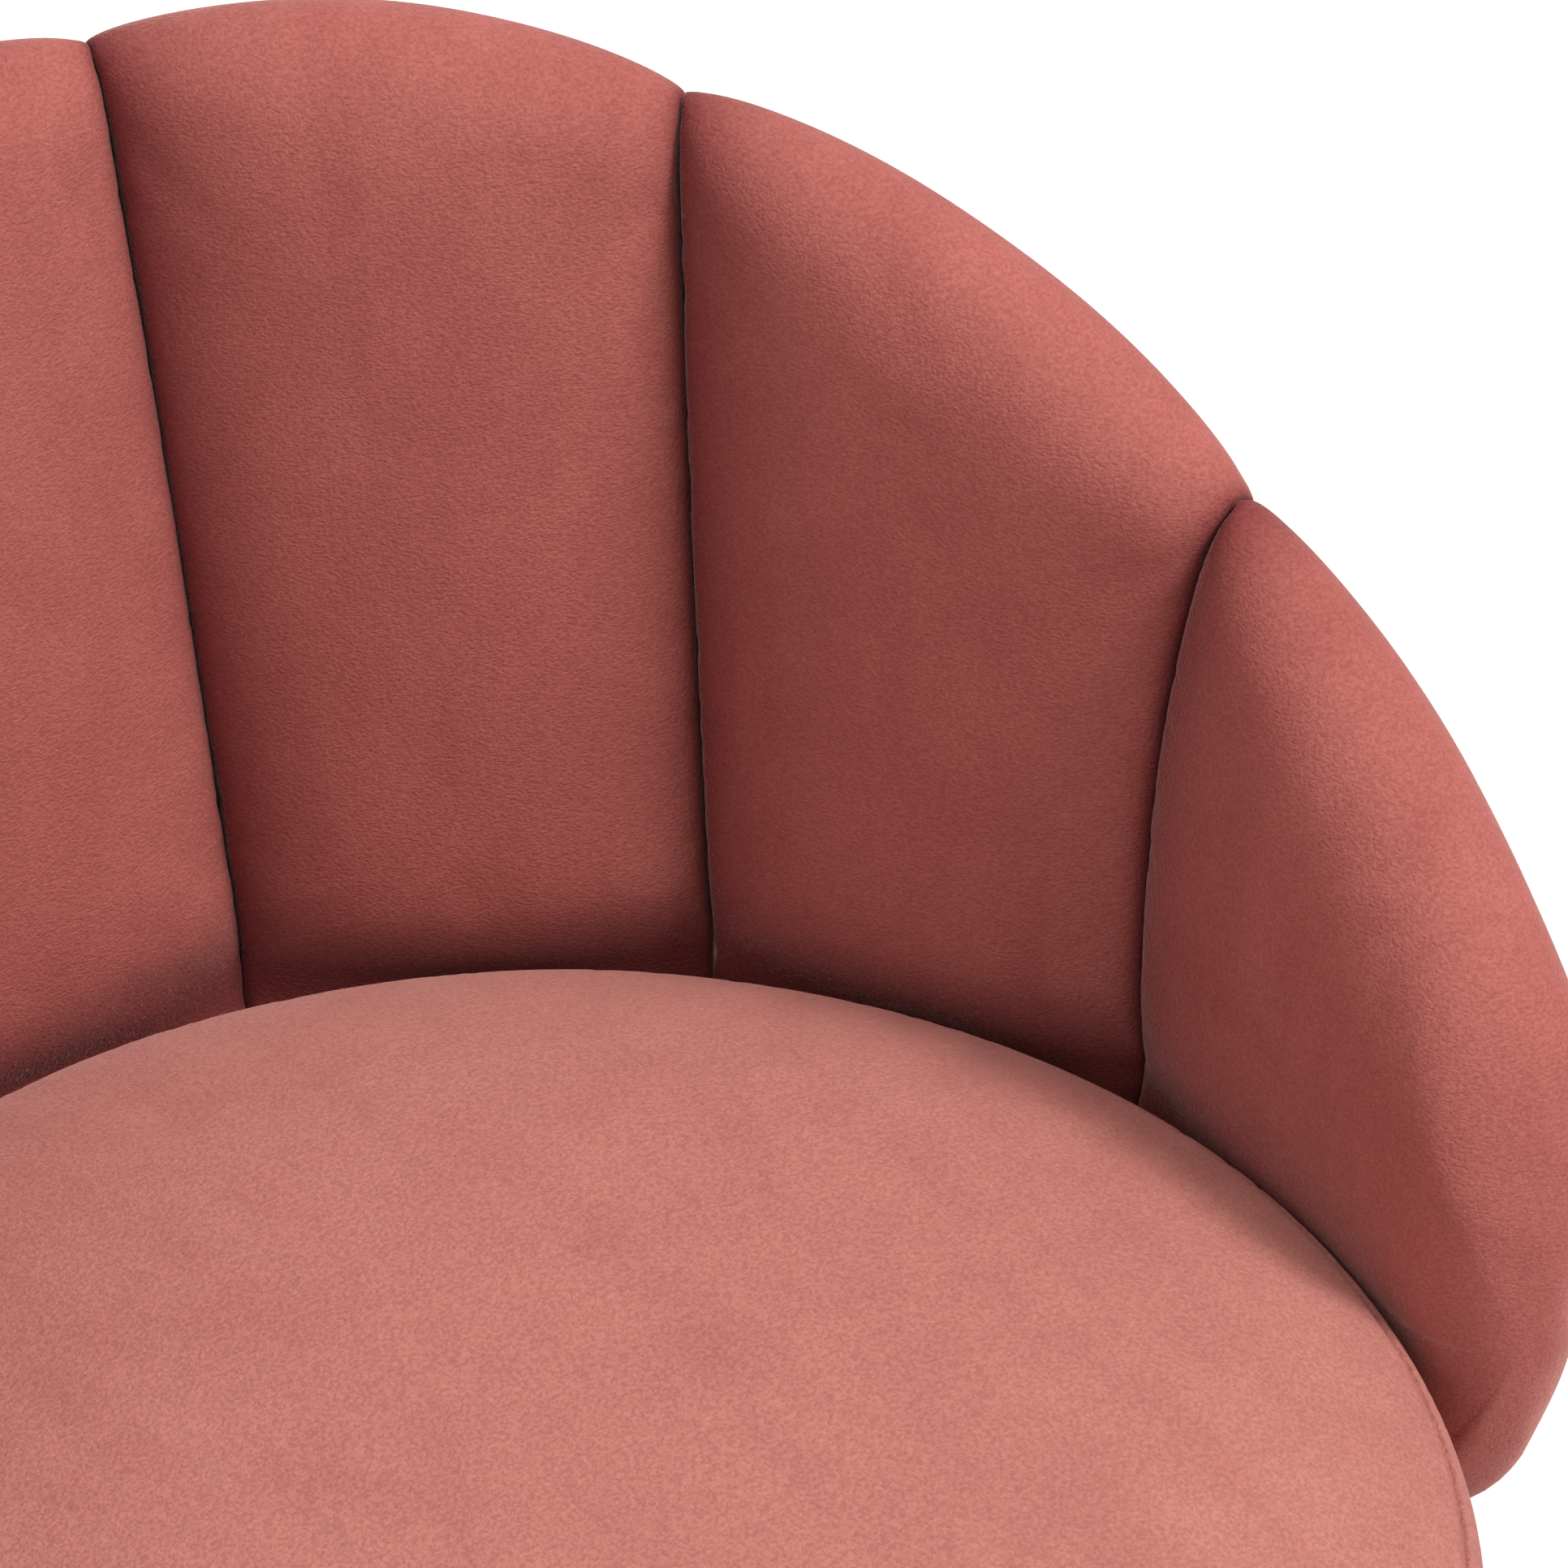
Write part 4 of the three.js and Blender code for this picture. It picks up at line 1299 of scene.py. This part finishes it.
    def finish(self) -> None:
        """Refines the cushion, draws its puckers, paints shade on its border and sets it in the chair."""
        cushion = self.cushion
        subdivide(cushion)
        points = coordinates(cushion)
        seam = self.envelope.seat_radius - self.seam_inset
        level = float(self._dome(np.array([seam]))[0]) + self.envelope.rim
        points = points + normals(cushion) * self._shift(points, seam, level)[:, None]
        wide = np.hypot(points[:, 0], points[:, 1])
        limit = self.envelope.seat_radius + self.spill
        points[:, :2] *= np.minimum(1, limit / np.maximum(wide, 1e-9))[:, None]
        floor = self.envelope.rim - self.envelope.border_drop
        points[:, 2] = np.maximum(points[:, 2], floor)
        move_points(cushion, points)
        # Painted shade: the border below the seam is darkened, as the side that the light on the top
        # misses.
        below = np.clip((level - points[:, 2]) / self.border_shade_fade, 0, 1)
        write_mask(cushion, PAINTED_SHADE, self.border_painted_shade * below)
        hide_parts("seat_cover", "seat_foam")
        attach(cushion, "chair")
        LOG.info("%s: %d faces", cushion.name, len(cushion.data.polygons))

    def _shift(self, points: np.ndarray, seam: float, level: float) -> np.ndarray:
        """How far each point moves out: short puckers at the seam and a soft unevenness.

        Args:
            points: the cushion's vertices.
            seam: the seam's radius.
            level: the seam's height.

        Returns:
            A length for each vertex.
        """
        reach = np.hypot(points[:, 0], points[:, 1])
        away = np.hypot(reach - seam, points[:, 2] - level)
        near = np.nonzero(away < 3 * self.pucker_reach)[0]
        turn = np.arctan2(points[near, 0], points[near, 1])
        rows = np.stack([np.cos(turn), np.sin(turn)], 1) * seam
        shift = np.zeros(len(points))
        fade = np.exp(-(away[near] / self.pucker_reach) ** 2)
        shift[near] = -self.pucker_depth * np.clip(ripple(rows, self.pucker_size, 5.0), 0, 1) * 2 * fade
        top = points[:, 2] > self.envelope.rim - self.envelope.border_drop * 0.8
        return shift + np.where(top, self.unevenness * ripple(points, 0.11, 2.0), 0)


# ---- The drum under the seat ------------------------------------------------------


@dataclass
class DrumCover:
    """The padded velvet band round the drum, turned under the hoop and stapled there."""

    envelope: Envelope
    rack: FinishRack
    columns: int = 240
    side_rows: int = 30
    bulge: float = 1.5 * MM
    taper: float = 0.006
    corner: float = 0.012
    corner_rows: int = 8
    crown_rows: int = 4
    swell_room: float = 1.5 * MM
    top_round: float = 2 * MM
    swell_cap: float = 2.5 * MM
    unevenness: float = 0.8 * MM
    seam_depth: float = 1.4 * MM
    seam_width: float = 2.2 * MM
    spill: float = 0.5 * MM
    cover: bpy.types.Object = field(init=False, default=None)

    def _profile(self) -> np.ndarray:
        """Radius and height round the band's section, from its inner top corner outwards."""
        space = self.envelope
        bottom, top, outer = space.drum_bottom, space.drum_top, space.drum_radius
        inner = space.hoop_radius + space.gap
        share = np.linspace(0, 1, self.side_rows + 1)
        level = top - self.top_round - (top - bottom - self.corner - self.top_round) * share
        swell = self.bulge * np.sin(math.pi * share) - self.taper * share ** 2
        side = np.column_stack([outer - self.swell_room + swell, level])
        turn = np.linspace(0, math.pi / 2, self.corner_rows)[1:]
        low = side[-1]
        foot = low - self.corner * np.column_stack([1 - np.cos(turn), np.sin(turn)])
        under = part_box("drum_hoop")[0].z
        turned_under = [(inner + 4 * MM, bottom), (inner - 1 * MM, under - 3.4 * MM),
                        (inner - 7.2 * MM, under - 1.9 * MM),
                        (inner - 7.4 * MM, under - 0.9 * MM), (inner - 1 * MM, under - 0.5 * MM)]
        inside = [*turned_under, (inner, under + 1 * MM), (inner, (bottom + top) / 2),
                  (inner, top - 2 * MM)]
        crown = [(inner + 1 * MM, top), ((inner + outer) / 2, top), (outer - 4 * MM, top),
                 (outer - 2 * MM, top - 0.6 * MM)]
        return np.concatenate([np.array(crown), side, foot, np.array(inside)])

    def build(self, room: PressureRoom) -> None:
        """Makes the band and hands it to the pressure room."""
        profile = self._profile()
        turn = np.linspace(0, 2 * math.pi, self.columns, endpoint=False)
        ring = len(profile)
        east = profile[None, :, 0] * np.sin(turn)[:, None]
        north = profile[None, :, 0] * np.cos(turn)[:, None]
        level = np.broadcast_to(profile[None, :, 1], east.shape)
        faces = ring_faces(self.columns, ring, closed=True)
        places = np.stack([east, north, level], -1).reshape(-1, 3)
        self.cover = new_piece("drum_band", places, faces, self.rack.velvet)
        steps = np.concatenate([[0], np.cumsum(np.linalg.norm(np.diff(profile, axis=0), axis=1))])
        girth = 2 * math.pi * self.envelope.seat_radius
        across = turn / (2 * math.pi) * girth
        cloth = np.stack(np.broadcast_arrays(across[:, None], steps[None]), -1).reshape(-1, 2)
        write_cloth_map(self.cover, cloth, girth, float(steps[-1]))
        share = np.ones(ring)
        free = slice(self.crown_rows + 3, self.crown_rows + self.side_rows - 2)
        share[free] = 0
        room.add(self.cover, np.tile(share, self.columns), self.swell_cap)

    def finish(self) -> None:
        """Sets the band on the chair in place of its plain solid."""
        points = coordinates(self.cover)
        outer = self.envelope.drum_radius
        wide = np.hypot(points[:, 0], points[:, 1])
        turn = np.arctan2(points[:, 0], points[:, 1])
        around = np.stack([np.cos(turn) * 0.3, np.sin(turn) * 0.3, points[:, 2] * 0.25], 1)
        soft = self.unevenness * ripple(around, 0.03, 9.0)
        seam = np.exp(-(np.abs(turn) * outer / self.seam_width) ** 2) * self.seam_depth
        shift = np.where(wide > outer - 0.012, soft - seam, 0)
        reach = np.minimum(wide + shift, outer + self.spill)
        points[:, :2] *= (reach / wide)[:, None]
        move_points(self.cover, points)
        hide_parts("drum_cover")
        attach(self.cover, "chair")
        LOG.info("%s: %d faces", self.cover.name, len(self.cover.data.polygons))


# ---- The metal and wood pieces ----------------------------------------------------


@dataclass
class Hardware:
    """Dresses the frame's own pieces, and says which finish each wears."""

    rack: FinishRack

    def dress(self) -> None:
        """Gives every hard node its finish."""
        for name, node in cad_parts.items():
            finish = self._finish_for(name)
            if finish is not None:
                node.material_slots[0].material = finish
        LOG.info("dressed %d frame pieces", len(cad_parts))

    def _finish_for(self, name: str) -> bpy.types.Material | None:
        """The finish of a node, or None for a soft one that is replaced."""
        rack = self.rack
        families = {
            rack.rubber: ("floor_mat", "stop_bumper"),
            rack.nylon: ("bush",),
            rack.board: ("base_board", "seat_ring"),
            rack.bent_board: ("drum_hoop", "back_shell"),
            rack.zinc_steel: ("spindle", "bearing", "ball_cage", "upper_pin", "lower_pin", "shell_bolt",
                              "seat_spring"),
            rack.black_steel: ("base_plate", "carriage", "link", "hanger", "mount_rail", "stop_tongue"),
        }
        for finish, starts in families.items():
            if name.startswith(starts):
                return finish
        return None


# ---- Repeated small pieces, made by geometry nodes --------------------------------


class GeometryTrees:
    """The node trees that lay out staples, bolt heads and weld beads."""

    @staticmethod
    def _start(name: str, inputs: dict[str, str]) -> tuple[NodeSheet, bpy.types.Node, bpy.types.Node]:
        """Makes a tree with a geometry input and output.

        Args:
            name: the tree's name.
            inputs: socket type by input name.

        Returns:
            The sheet, the tree's input node and its output node.
        """
        tree = bpy.data.node_groups.new(name, "GeometryNodeTree")
        tree.interface.new_socket("Geometry", in_out="INPUT", socket_type="NodeSocketGeometry")
        for label, kind in inputs.items():
            tree.interface.new_socket(label, in_out="INPUT", socket_type=kind)
        tree.interface.new_socket("Geometry", in_out="OUTPUT", socket_type="NodeSocketGeometry")
        sheet = NodeSheet(tree)
        return sheet, sheet.add("NodeGroupInput"), sheet.add("NodeGroupOutput")

    @staticmethod
    def _end(sheet: NodeSheet, source: bpy.types.Node, result: bpy.types.Node,
             instances: bpy.types.NodeSocket, smooth: bool) -> bpy.types.NodeTree:
        """Turns the instances into one dressed mesh.

        Args:
            sheet: the tree's sheet.
            source: its input node.
            result: its output node.
            instances: what is laid out.
            smooth: whether the faces are shaded smooth.

        Returns:
            The finished tree.
        """
        real = sheet.add("GeometryNodeRealizeInstances", in_Geometry=instances)
        shade = sheet.add("GeometryNodeSetShadeSmooth", in_0=real.outputs[0], in_Shade_Smooth=smooth)
        dress = sheet.add("GeometryNodeSetMaterial", in_Geometry=shade.outputs[0],
                          in_Material=source.outputs["Finish"])
        sheet.link(dress.outputs[0], result.inputs[0])
        return sheet.tree

    @staticmethod
    def _vary(sheet: NodeSheet, source: bpy.types.Node, low: tuple[float, float, float],
              high: tuple[float, float, float]) -> bpy.types.NodeSocket:
        """Adds a random vector for each piece, from the tree's seed.

        Args:
            sheet: the tree's sheet.
            source: its input node.
            low: the smallest vector.
            high: the largest vector.

        Returns:
            The vector's socket.
        """
        return sheet.add("FunctionNodeRandomValue", data_type="FLOAT_VECTOR", in_0=low, in_1=high,
                         in_Seed=source.outputs["Seed"]).outputs[0]

    @classmethod
    def bolts(cls) -> bpy.types.NodeTree:
        """Six-sided bolt heads on washers, one on each point of the geometry."""
        sheet, source, result = cls._start("bolt_heads", {
            "Head radius": "NodeSocketFloat", "Head height": "NodeSocketFloat",
            "Washer radius": "NodeSocketFloat", "Washer height": "NodeSocketFloat",
            "Facing": "NodeSocketVector", "Seed": "NodeSocketInt", "Finish": "NodeSocketMaterial"})
        join = sheet.add("GeometryNodeJoinGeometry")
        for label, sides in (("Washer", 20), ("Head", 6)):
            height = source.outputs[label + " height"]
            disc = sheet.add("GeometryNodeMeshCylinder", in_Vertices=sides, in_Depth=height,
                             in_Radius=source.outputs[label + " radius"])
            rise = sheet.math("MULTIPLY", height, 0.5)
            if label == "Head":
                rise = sheet.math("ADD", rise, source.outputs["Washer height"])
            move = sheet.add("GeometryNodeTransform", in_Geometry=disc.outputs["Mesh"],
                             in_Translation=sheet.vector(z=rise))
            sheet.link(move.outputs[0], join.inputs[0])
        points = sheet.add("GeometryNodeMeshToPoints", in_0=source.outputs["Geometry"])
        lay = sheet.add("GeometryNodeInstanceOnPoints", in_Points=points.outputs[0],
                        in_Instance=join.outputs[0], in_Rotation=source.outputs["Facing"])
        spin = cls._vary(sheet, source, (0, 0, 0), (0, 0, 2 * math.pi))
        turn = sheet.add("GeometryNodeRotateInstances", in_Instances=lay.outputs[0], in_Rotation=spin)
        return cls._end(sheet, source, result, turn.outputs[0], False)

    @classmethod
    def staples(cls) -> bpy.types.NodeTree:
        """Wire staples round a circle, their crowns along it and their legs pointing up."""
        sheet, source, result = cls._start("staple_ring", {
            "Count": "NodeSocketInt", "Radius": "NodeSocketFloat", "Height": "NodeSocketFloat",
            "Crown": "NodeSocketFloat", "Leg": "NodeSocketFloat", "Wire": "NodeSocketFloat",
            "Seed": "NodeSocketInt", "Finish": "NodeSocketMaterial"})
        wire = cls._staple(sheet, source)
        circle = sheet.add("GeometryNodeMeshCircle", in_Vertices=source.outputs["Count"],
                           in_Radius=source.outputs["Radius"])
        level = sheet.add("GeometryNodeTransform", in_Geometry=circle.outputs[0],
                          in_Translation=sheet.vector(z=source.outputs["Height"]))
        place = sheet.add("GeometryNodeInputPosition")
        flat = sheet.add("ShaderNodeVectorMath", operation="MULTIPLY", in_0=place.outputs[0],
                         in_1=(1, 1, 0))
        align = sheet.add("FunctionNodeAlignRotationToVector", axis="Y", pivot_axis="Z",
                          in_Vector=flat.outputs[0])
        lay = sheet.add("GeometryNodeInstanceOnPoints", in_Points=level.outputs[0], in_Instance=wire,
                        in_Rotation=align.outputs[0])
        tilt = cls._vary(sheet, source, (0, 0, -0.22), (0, 0, 0.22))
        turn = sheet.add("GeometryNodeRotateInstances", in_Instances=lay.outputs[0], in_Rotation=tilt)
        return cls._end(sheet, source, result, turn.outputs[0], True)

    @staticmethod
    def _staple(sheet: NodeSheet, source: bpy.types.Node) -> bpy.types.NodeSocket:
        """One staple: a crown of round wire with a leg at each end.

        Args:
            sheet: the tree's sheet.
            source: its input node.

        Returns:
            The staple's mesh.
        """
        right = sheet.math("MULTIPLY", source.outputs["Crown"], 0.5)
        left = sheet.math("MULTIPLY", source.outputs["Crown"], -0.5)
        leg = source.outputs["Leg"]
        join = sheet.add("GeometryNodeJoinGeometry")
        for start, end, rise in ((left, right, 0.0), (left, left, leg), (right, right, leg)):
            line = sheet.add("GeometryNodeCurvePrimitiveLine", in_Start=sheet.vector(start),
                             in_End=sheet.vector(end, z=rise))
            sheet.link(line.outputs[0], join.inputs[0])
        section = sheet.add("GeometryNodeCurvePrimitiveCircle", in_Resolution=6,
                            in_Radius=source.outputs["Wire"])
        wire = sheet.add("GeometryNodeCurveToMesh", in_Curve=join.outputs[0],
                         in_Profile_Curve=section.outputs[0], in_Fill_Caps=True)
        return wire.outputs[0]

    @classmethod
    def beads(cls) -> bpy.types.NodeTree:
        """Weld beads: overlapping drops of metal along the geometry's edges."""
        sheet, source, result = cls._start("weld_beads", {
            "Step": "NodeSocketFloat", "Radius": "NodeSocketFloat", "Seed": "NodeSocketInt",
            "Finish": "NodeSocketMaterial"})
        path = sheet.add("GeometryNodeMeshToCurve", in_0=source.outputs["Geometry"])
        even = sheet.add("GeometryNodeResampleCurve", mode="LENGTH", in_Curve=path.outputs[0],
                         in_Length=source.outputs["Step"])
        drop = sheet.add("GeometryNodeMeshUVSphere", in_Segments=8, in_Rings=5,
                         in_Radius=source.outputs["Radius"])
        size = cls._vary(sheet, source, (0.85, 0.85, 0.85), (1.15, 1.15, 1.15))
        lay = sheet.add("GeometryNodeInstanceOnPoints", in_Points=even.outputs[0],
                        in_Instance=drop.outputs["Mesh"], in_Scale=size)
        return cls._end(sheet, source, result, lay.outputs[0], True)


@dataclass
class SmallPieces:
    """Staples, bolt heads and weld beads, each group a plain mesh on its body."""

    envelope: Envelope
    rack: FinishRack
    rail_bolt_places: tuple[float, ...] = (-0.155, -0.055, 0.055, 0.155)
    race_bolt_ring: float = 0.050
    staple_count: int = 72

    def _lay(self, name: str, tree: bpy.types.NodeTree, points: list[tuple[float, float, float]],
             edges: list[tuple[int, int]], values: dict[str, object], body: str, slot: Slot) -> None:
        """Runs a tree on points and edges, and puts the result on a body.

        Args:
            name: the group's name.
            tree: the geometry node tree.
            points: where the pieces go, in metres.
            edges: pairs of points that a run follows.
            values: the tree's inputs by name.
            body: the body that carries the pieces.
            slot: their finish in the record; not used.
        """
        mesh = bpy.data.meshes.new(name)
        mesh.from_pydata(points, edges, [])
        piece = bpy.data.objects.new(name, mesh)
        bpy.context.scene.collection.objects.link(piece)
        layout = piece.modifiers.new("layout", "NODES")
        layout.node_group = tree
        for item in tree.interface.items_tree:
            if item.item_type == "SOCKET" and item.in_out == "INPUT" and item.name in values:
                layout[item.identifier] = values[item.name]
        settle(piece)
        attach(piece, body)
        LOG.info("%s: %d faces", name, len(piece.data.polygons))

    def build(self) -> None:
        """Makes every group."""
        self._staples()
        self._bolts()
        self._welds()

    def _staples(self) -> None:
        """Staples that hold the drum's velvet under the hoop."""
        hoop_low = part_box("drum_hoop")[0]
        radius = self.envelope.hoop_radius - 4.5 * MM
        values = {"Count": self.staple_count, "Radius": radius, "Height": hoop_low.z - 2.2 * MM,
                  "Crown": 0.0095, "Leg": 0.0045, "Wire": 0.5 * MM, "Seed": 4,
                  "Finish": self.rack.zinc_steel}
        self._lay("hoop_staples", GeometryTrees.staples(), [(0.0, 0.0, 0.0)], [], values, "chair",
                  Slot.ZINC_STEEL)

    def _bolts(self) -> None:
        """Bolts through the rails into the base board, and through the race into the carriage plate."""
        tree = GeometryTrees.bolts()
        rail_points = []
        for hand in ("left", "right"):
            low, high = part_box(f"mount_rail_{hand}")
            middle = (low.x + high.x) / 2 - math.copysign(4 * MM, low.x)
            rail_points += [(middle, place, low.z) for place in self.rail_bolt_places]
        common = {"Washer height": 1.2 * MM, "Finish": self.rack.zinc_steel}
        rail = {"Head radius": 5.4 * MM, "Head height": 4.4 * MM, "Washer radius": 8 * MM,
                "Facing": Facing.DOWN.value, "Seed": 3}
        self._lay("rail_bolts", tree, rail_points, [], common | rail, "chair", Slot.ZINC_STEEL)
        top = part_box("carriage_plate")[1].z
        ring = self.race_bolt_ring
        turns = [math.radians(30 + 60 * step) for step in range(6)]
        race_points = [(ring * math.cos(turn), ring * math.sin(turn), top) for turn in turns]
        race = {"Head radius": 4.4 * MM, "Head height": 3.6 * MM, "Washer radius": 6.6 * MM,
                "Facing": Facing.UP.value, "Seed": 8}
        self._lay("race_bolts", tree, race_points, [], common | race, "carriage", Slot.ZINC_STEEL)

    def _welds(self) -> None:
        """Weld beads of the carriage and of the hangers."""
        tree = GeometryTrees.beads()
        values = {"Step": 2.0 * MM, "Radius": 2.1 * MM, "Seed": 5, "Finish": self.rack.black_steel}
        runs = []
        for end in ("front", "rear"):
            low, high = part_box(f"carriage_cross_{end}")
            for x in (low.x, high.x):
                for y in (low.y, high.y):
                    runs.append(((x, y, low.z + 5 * MM), (x, y, high.z - 3 * MM)))
                runs.append(((x, low.y, high.z), (x, high.y, high.z)))
            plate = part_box("carriage_plate")[1]
            inner = min((low.y, high.y), key=abs)
            runs.append(((-plate.x + 8 * MM, inner, low.z), (plate.x - 8 * MM, inner, low.z)))
        self._lay("carriage_welds", tree, *self._paths(runs), values, "carriage", Slot.BLACK_STEEL)
        runs = []
        for end in ("front", "rear"):
            for hand in ("left", "right"):
                low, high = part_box(f"hanger_{end}_{hand}")
                inner = min((low.x, high.x), key=abs)
                runs.append(((inner, low.y + 3 * MM, high.z), (inner, high.y - 3 * MM, high.z)))
        self._lay("hanger_welds", tree, *self._paths(runs), values | {"Seed": 6}, "chair", Slot.BLACK_STEEL)

    @staticmethod
    def _paths(runs: list[tuple[tuple, tuple]]) -> tuple[list[tuple], list[tuple[int, int]]]:
        """Turns pairs of ends into points and edges."""
        points = [point for run in runs for point in run]
        edges = [(2 * index, 2 * index + 1) for index in range(len(runs))]
        return points, edges


@dataclass
class SwivelBase:
    """The round floor plate and the rubber mat under it, turned with soft edges."""

    rack: FinishRack
    segments: int = 160

    def _turned(self, name: str, outline: list[tuple[float, float]], material: bpy.types.Material,
                node: str) -> None:
        """Turns an outline about the swivel axis and puts it in place of a frame piece.

        Args:
            name: the piece's name.
            outline: radius and height of its points, from the axis outwards and back.
            material: its finish.
            node: the frame piece that it stands for.
        """
        turn = np.linspace(0, 2 * math.pi, self.segments, endpoint=False)
        rings = [np.column_stack([radius * np.sin(turn), radius * np.cos(turn), np.full(len(turn), level)])
                 for radius, level in outline]
        points = np.concatenate([*rings, [[0, 0, outline[0][1]]], [[0, 0, outline[-1][1]]]])
        count, last = self.segments, len(outline) - 1
        low, high = len(points) - 2, len(points) - 1
        faces = []
        for k in range(count):
            after = (k + 1) % count
            for row in range(last):
                base = row * count
                faces.append((base + k, base + after, base + count + after, base + count + k))
            faces.append((low, after, k))
            faces.append((high, last * count + k, last * count + after))
        piece = new_piece(name, points, faces, material)
        piece.data.set_sharp_from_angle(angle=math.radians(32))
        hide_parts(node)
        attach(piece, "base")
        LOG.info("%s: %d faces", name, len(piece.data.polygons))

    @staticmethod
    def _rounded(radius: float, bottom: float, top: float, low_round: float,
                 high_round: float) -> list[tuple[float, float]]:
        """Outline of a disc with rounded edges."""
        outline = [(0.3 * radius, bottom), (radius - low_round, bottom)]
        for share in np.linspace(0, math.pi / 2, 6)[1:]:
            outline.append((radius - low_round * (1 - math.sin(share)),
                            bottom + low_round * (1 - math.cos(share))))
        for share in np.linspace(0, math.pi / 2, 7):
            outline.append((radius - high_round * (1 - math.cos(share)),
                            top - high_round * (1 - math.sin(share))))
        outline.append((0.3 * radius, top))
        return outline

    def build(self) -> None:
        """Makes the plate and the mat."""
        low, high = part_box("base_plate")
        plate = self._rounded(high.x, low.z, high.z, 1.2 * MM, 4.5 * MM)
        self._turned("floor_plate", plate, self.rack.black_steel, "base_plate")
        low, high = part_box("floor_mat")
        mat = self._rounded(high.x, low.z, high.z, 0.4 * MM, 0.8 * MM)
        self._turned("floor_pad", mat, self.rack.rubber, "floor_mat")


# ---- The studio -------------------------------------------------------------------


@dataclass
class Studio:
    """Pale floor, soft light and the camera."""

    envelope: Envelope
    azimuth: float = -0.559
    elevation: float = 0.745
    roll: float = -0.014
    distance: float = 2.858
    lens: float = 209.8
    aim_right: float = 0.087
    aim_up: float = 0.2477

    def build(self) -> None:
        """Makes everything that isn't the chair."""
        self._camera()
        self._floor()
        self._world()
        self._light("key_light", (2.15, -1.75, 3.2), 1.1, 116.0)
        self._light("fill_light", (-2.4, -0.9, 2.4), 2.0, 29.0)
        self._light("top_light", (0.9, 0.3, 3.2), 1.8, 34.0)
        self._light("rear_light", (1.4, 2.4, 1.7), 1.4, 20.0)
        bpy.context.scene.view_settings.view_transform = "Standard"

    def _camera(self) -> None:
        """Places the camera by its angles round the seat."""
        back = Vector((math.sin(self.azimuth) * math.cos(self.elevation),
                       -math.cos(self.azimuth) * math.cos(self.elevation), math.sin(self.elevation)))
        centre = Vector((0, 0, self.envelope.rim))
        right = (-back).cross(Vector((0, 0, 1))).normalized()
        up = right.cross(-back)
        place = centre + back * self.distance
        ahead = (centre + right * self.aim_right + up * self.aim_up - place).normalized()
        right = ahead.cross(Vector((0, 0, 1))).normalized()
        up = right.cross(ahead)
        level = math.cos(self.roll) * right + math.sin(self.roll) * up
        head = level.cross(ahead)
        data = bpy.data.cameras.new("camera")
        data.lens = self.lens
        data.clip_end = 60
        camera = bpy.data.objects.new("camera", data)
        turn = Matrix((level, head, -ahead)).transposed().to_4x4()
        camera.matrix_world = Matrix.Translation(place) @ turn
        bpy.context.scene.collection.objects.link(camera)
        bpy.context.scene.camera = camera

    def _floor(self) -> None:
        """Lays the floor."""
        material, sheet, shader = new_material("pale_floor", in_Roughness=0.7)
        place = sheet.add("ShaderNodeTexCoord")
        mottle = sheet.noise(place.outputs["Object"], in_Scale=3.0, in_Detail=3.0)
        sheet.link(sheet.mix_colour(mottle, (0.93, 0.93, 0.93, 1), (0.96, 0.96, 0.96, 1)),
                   shader.inputs["Base Color"])
        reach = 12.0
        corners = [(-reach, -reach, 0), (reach, -reach, 0), (reach, reach, 0), (-reach, reach, 0)]
        mesh = bpy.data.meshes.new("floor")
        mesh.from_pydata(corners, [], [(0, 1, 2, 3)])
        mesh.materials.append(material)
        floor = bpy.data.objects.new("floor", mesh)
        bpy.context.scene.collection.objects.link(floor)

    def _world(self) -> None:
        """Lights the room evenly from all round."""
        world = bpy.data.worlds.new("studio")
        world.use_nodes = True
        world.node_tree.nodes["Background"].inputs["Color"].default_value = (1, 1, 1, 1)
        world.node_tree.nodes["Background"].inputs["Strength"].default_value = 0.43
        bpy.context.scene.world = world

    def _light(self, name: str, place: tuple[float, float, float], size: float, power: float) -> None:
        """Hangs one soft light that looks at the seat.

        Args:
            name: the light's name.
            place: where it hangs, in metres.
            size: side of its square, in metres.
            power: in watts.
        """
        data = bpy.data.lights.new(name, "AREA")
        data.shape = "SQUARE"
        data.size = size
        data.energy = power
        lamp = bpy.data.objects.new(name, data)
        lamp.location = place
        aim = Vector((0, 0, self.envelope.rim)) - Vector(place)
        lamp.rotation_mode = "QUATERNION"
        lamp.rotation_quaternion = aim.to_track_quat("-Z", "Y")
        bpy.context.scene.collection.objects.link(lamp)


# ---- Putting it together ----------------------------------------------------------


def main() -> None:
    """Builds the chair, piece by piece, and its studio."""
    logging.basicConfig(level=logging.INFO, format="%(name)s: %(message)s")
    envelope = Envelope.measured()
    Studio(envelope).build()
    rack = FinishRack()
    Hardware(rack).dress()
    room = PressureRoom()
    back = PetalBack(envelope, rack)
    seat = SeatCushion(envelope, rack)
    drum = DrumCover(envelope, rack)
    for maker in (back, seat, drum):
        maker.build(room)
    room.run()
    for maker in (back, seat, drum):
        maker.finish()
    SwivelBase(rack).build()
    SmallPieces(envelope, rack).build()


if __name__ == "__main__":
    main()
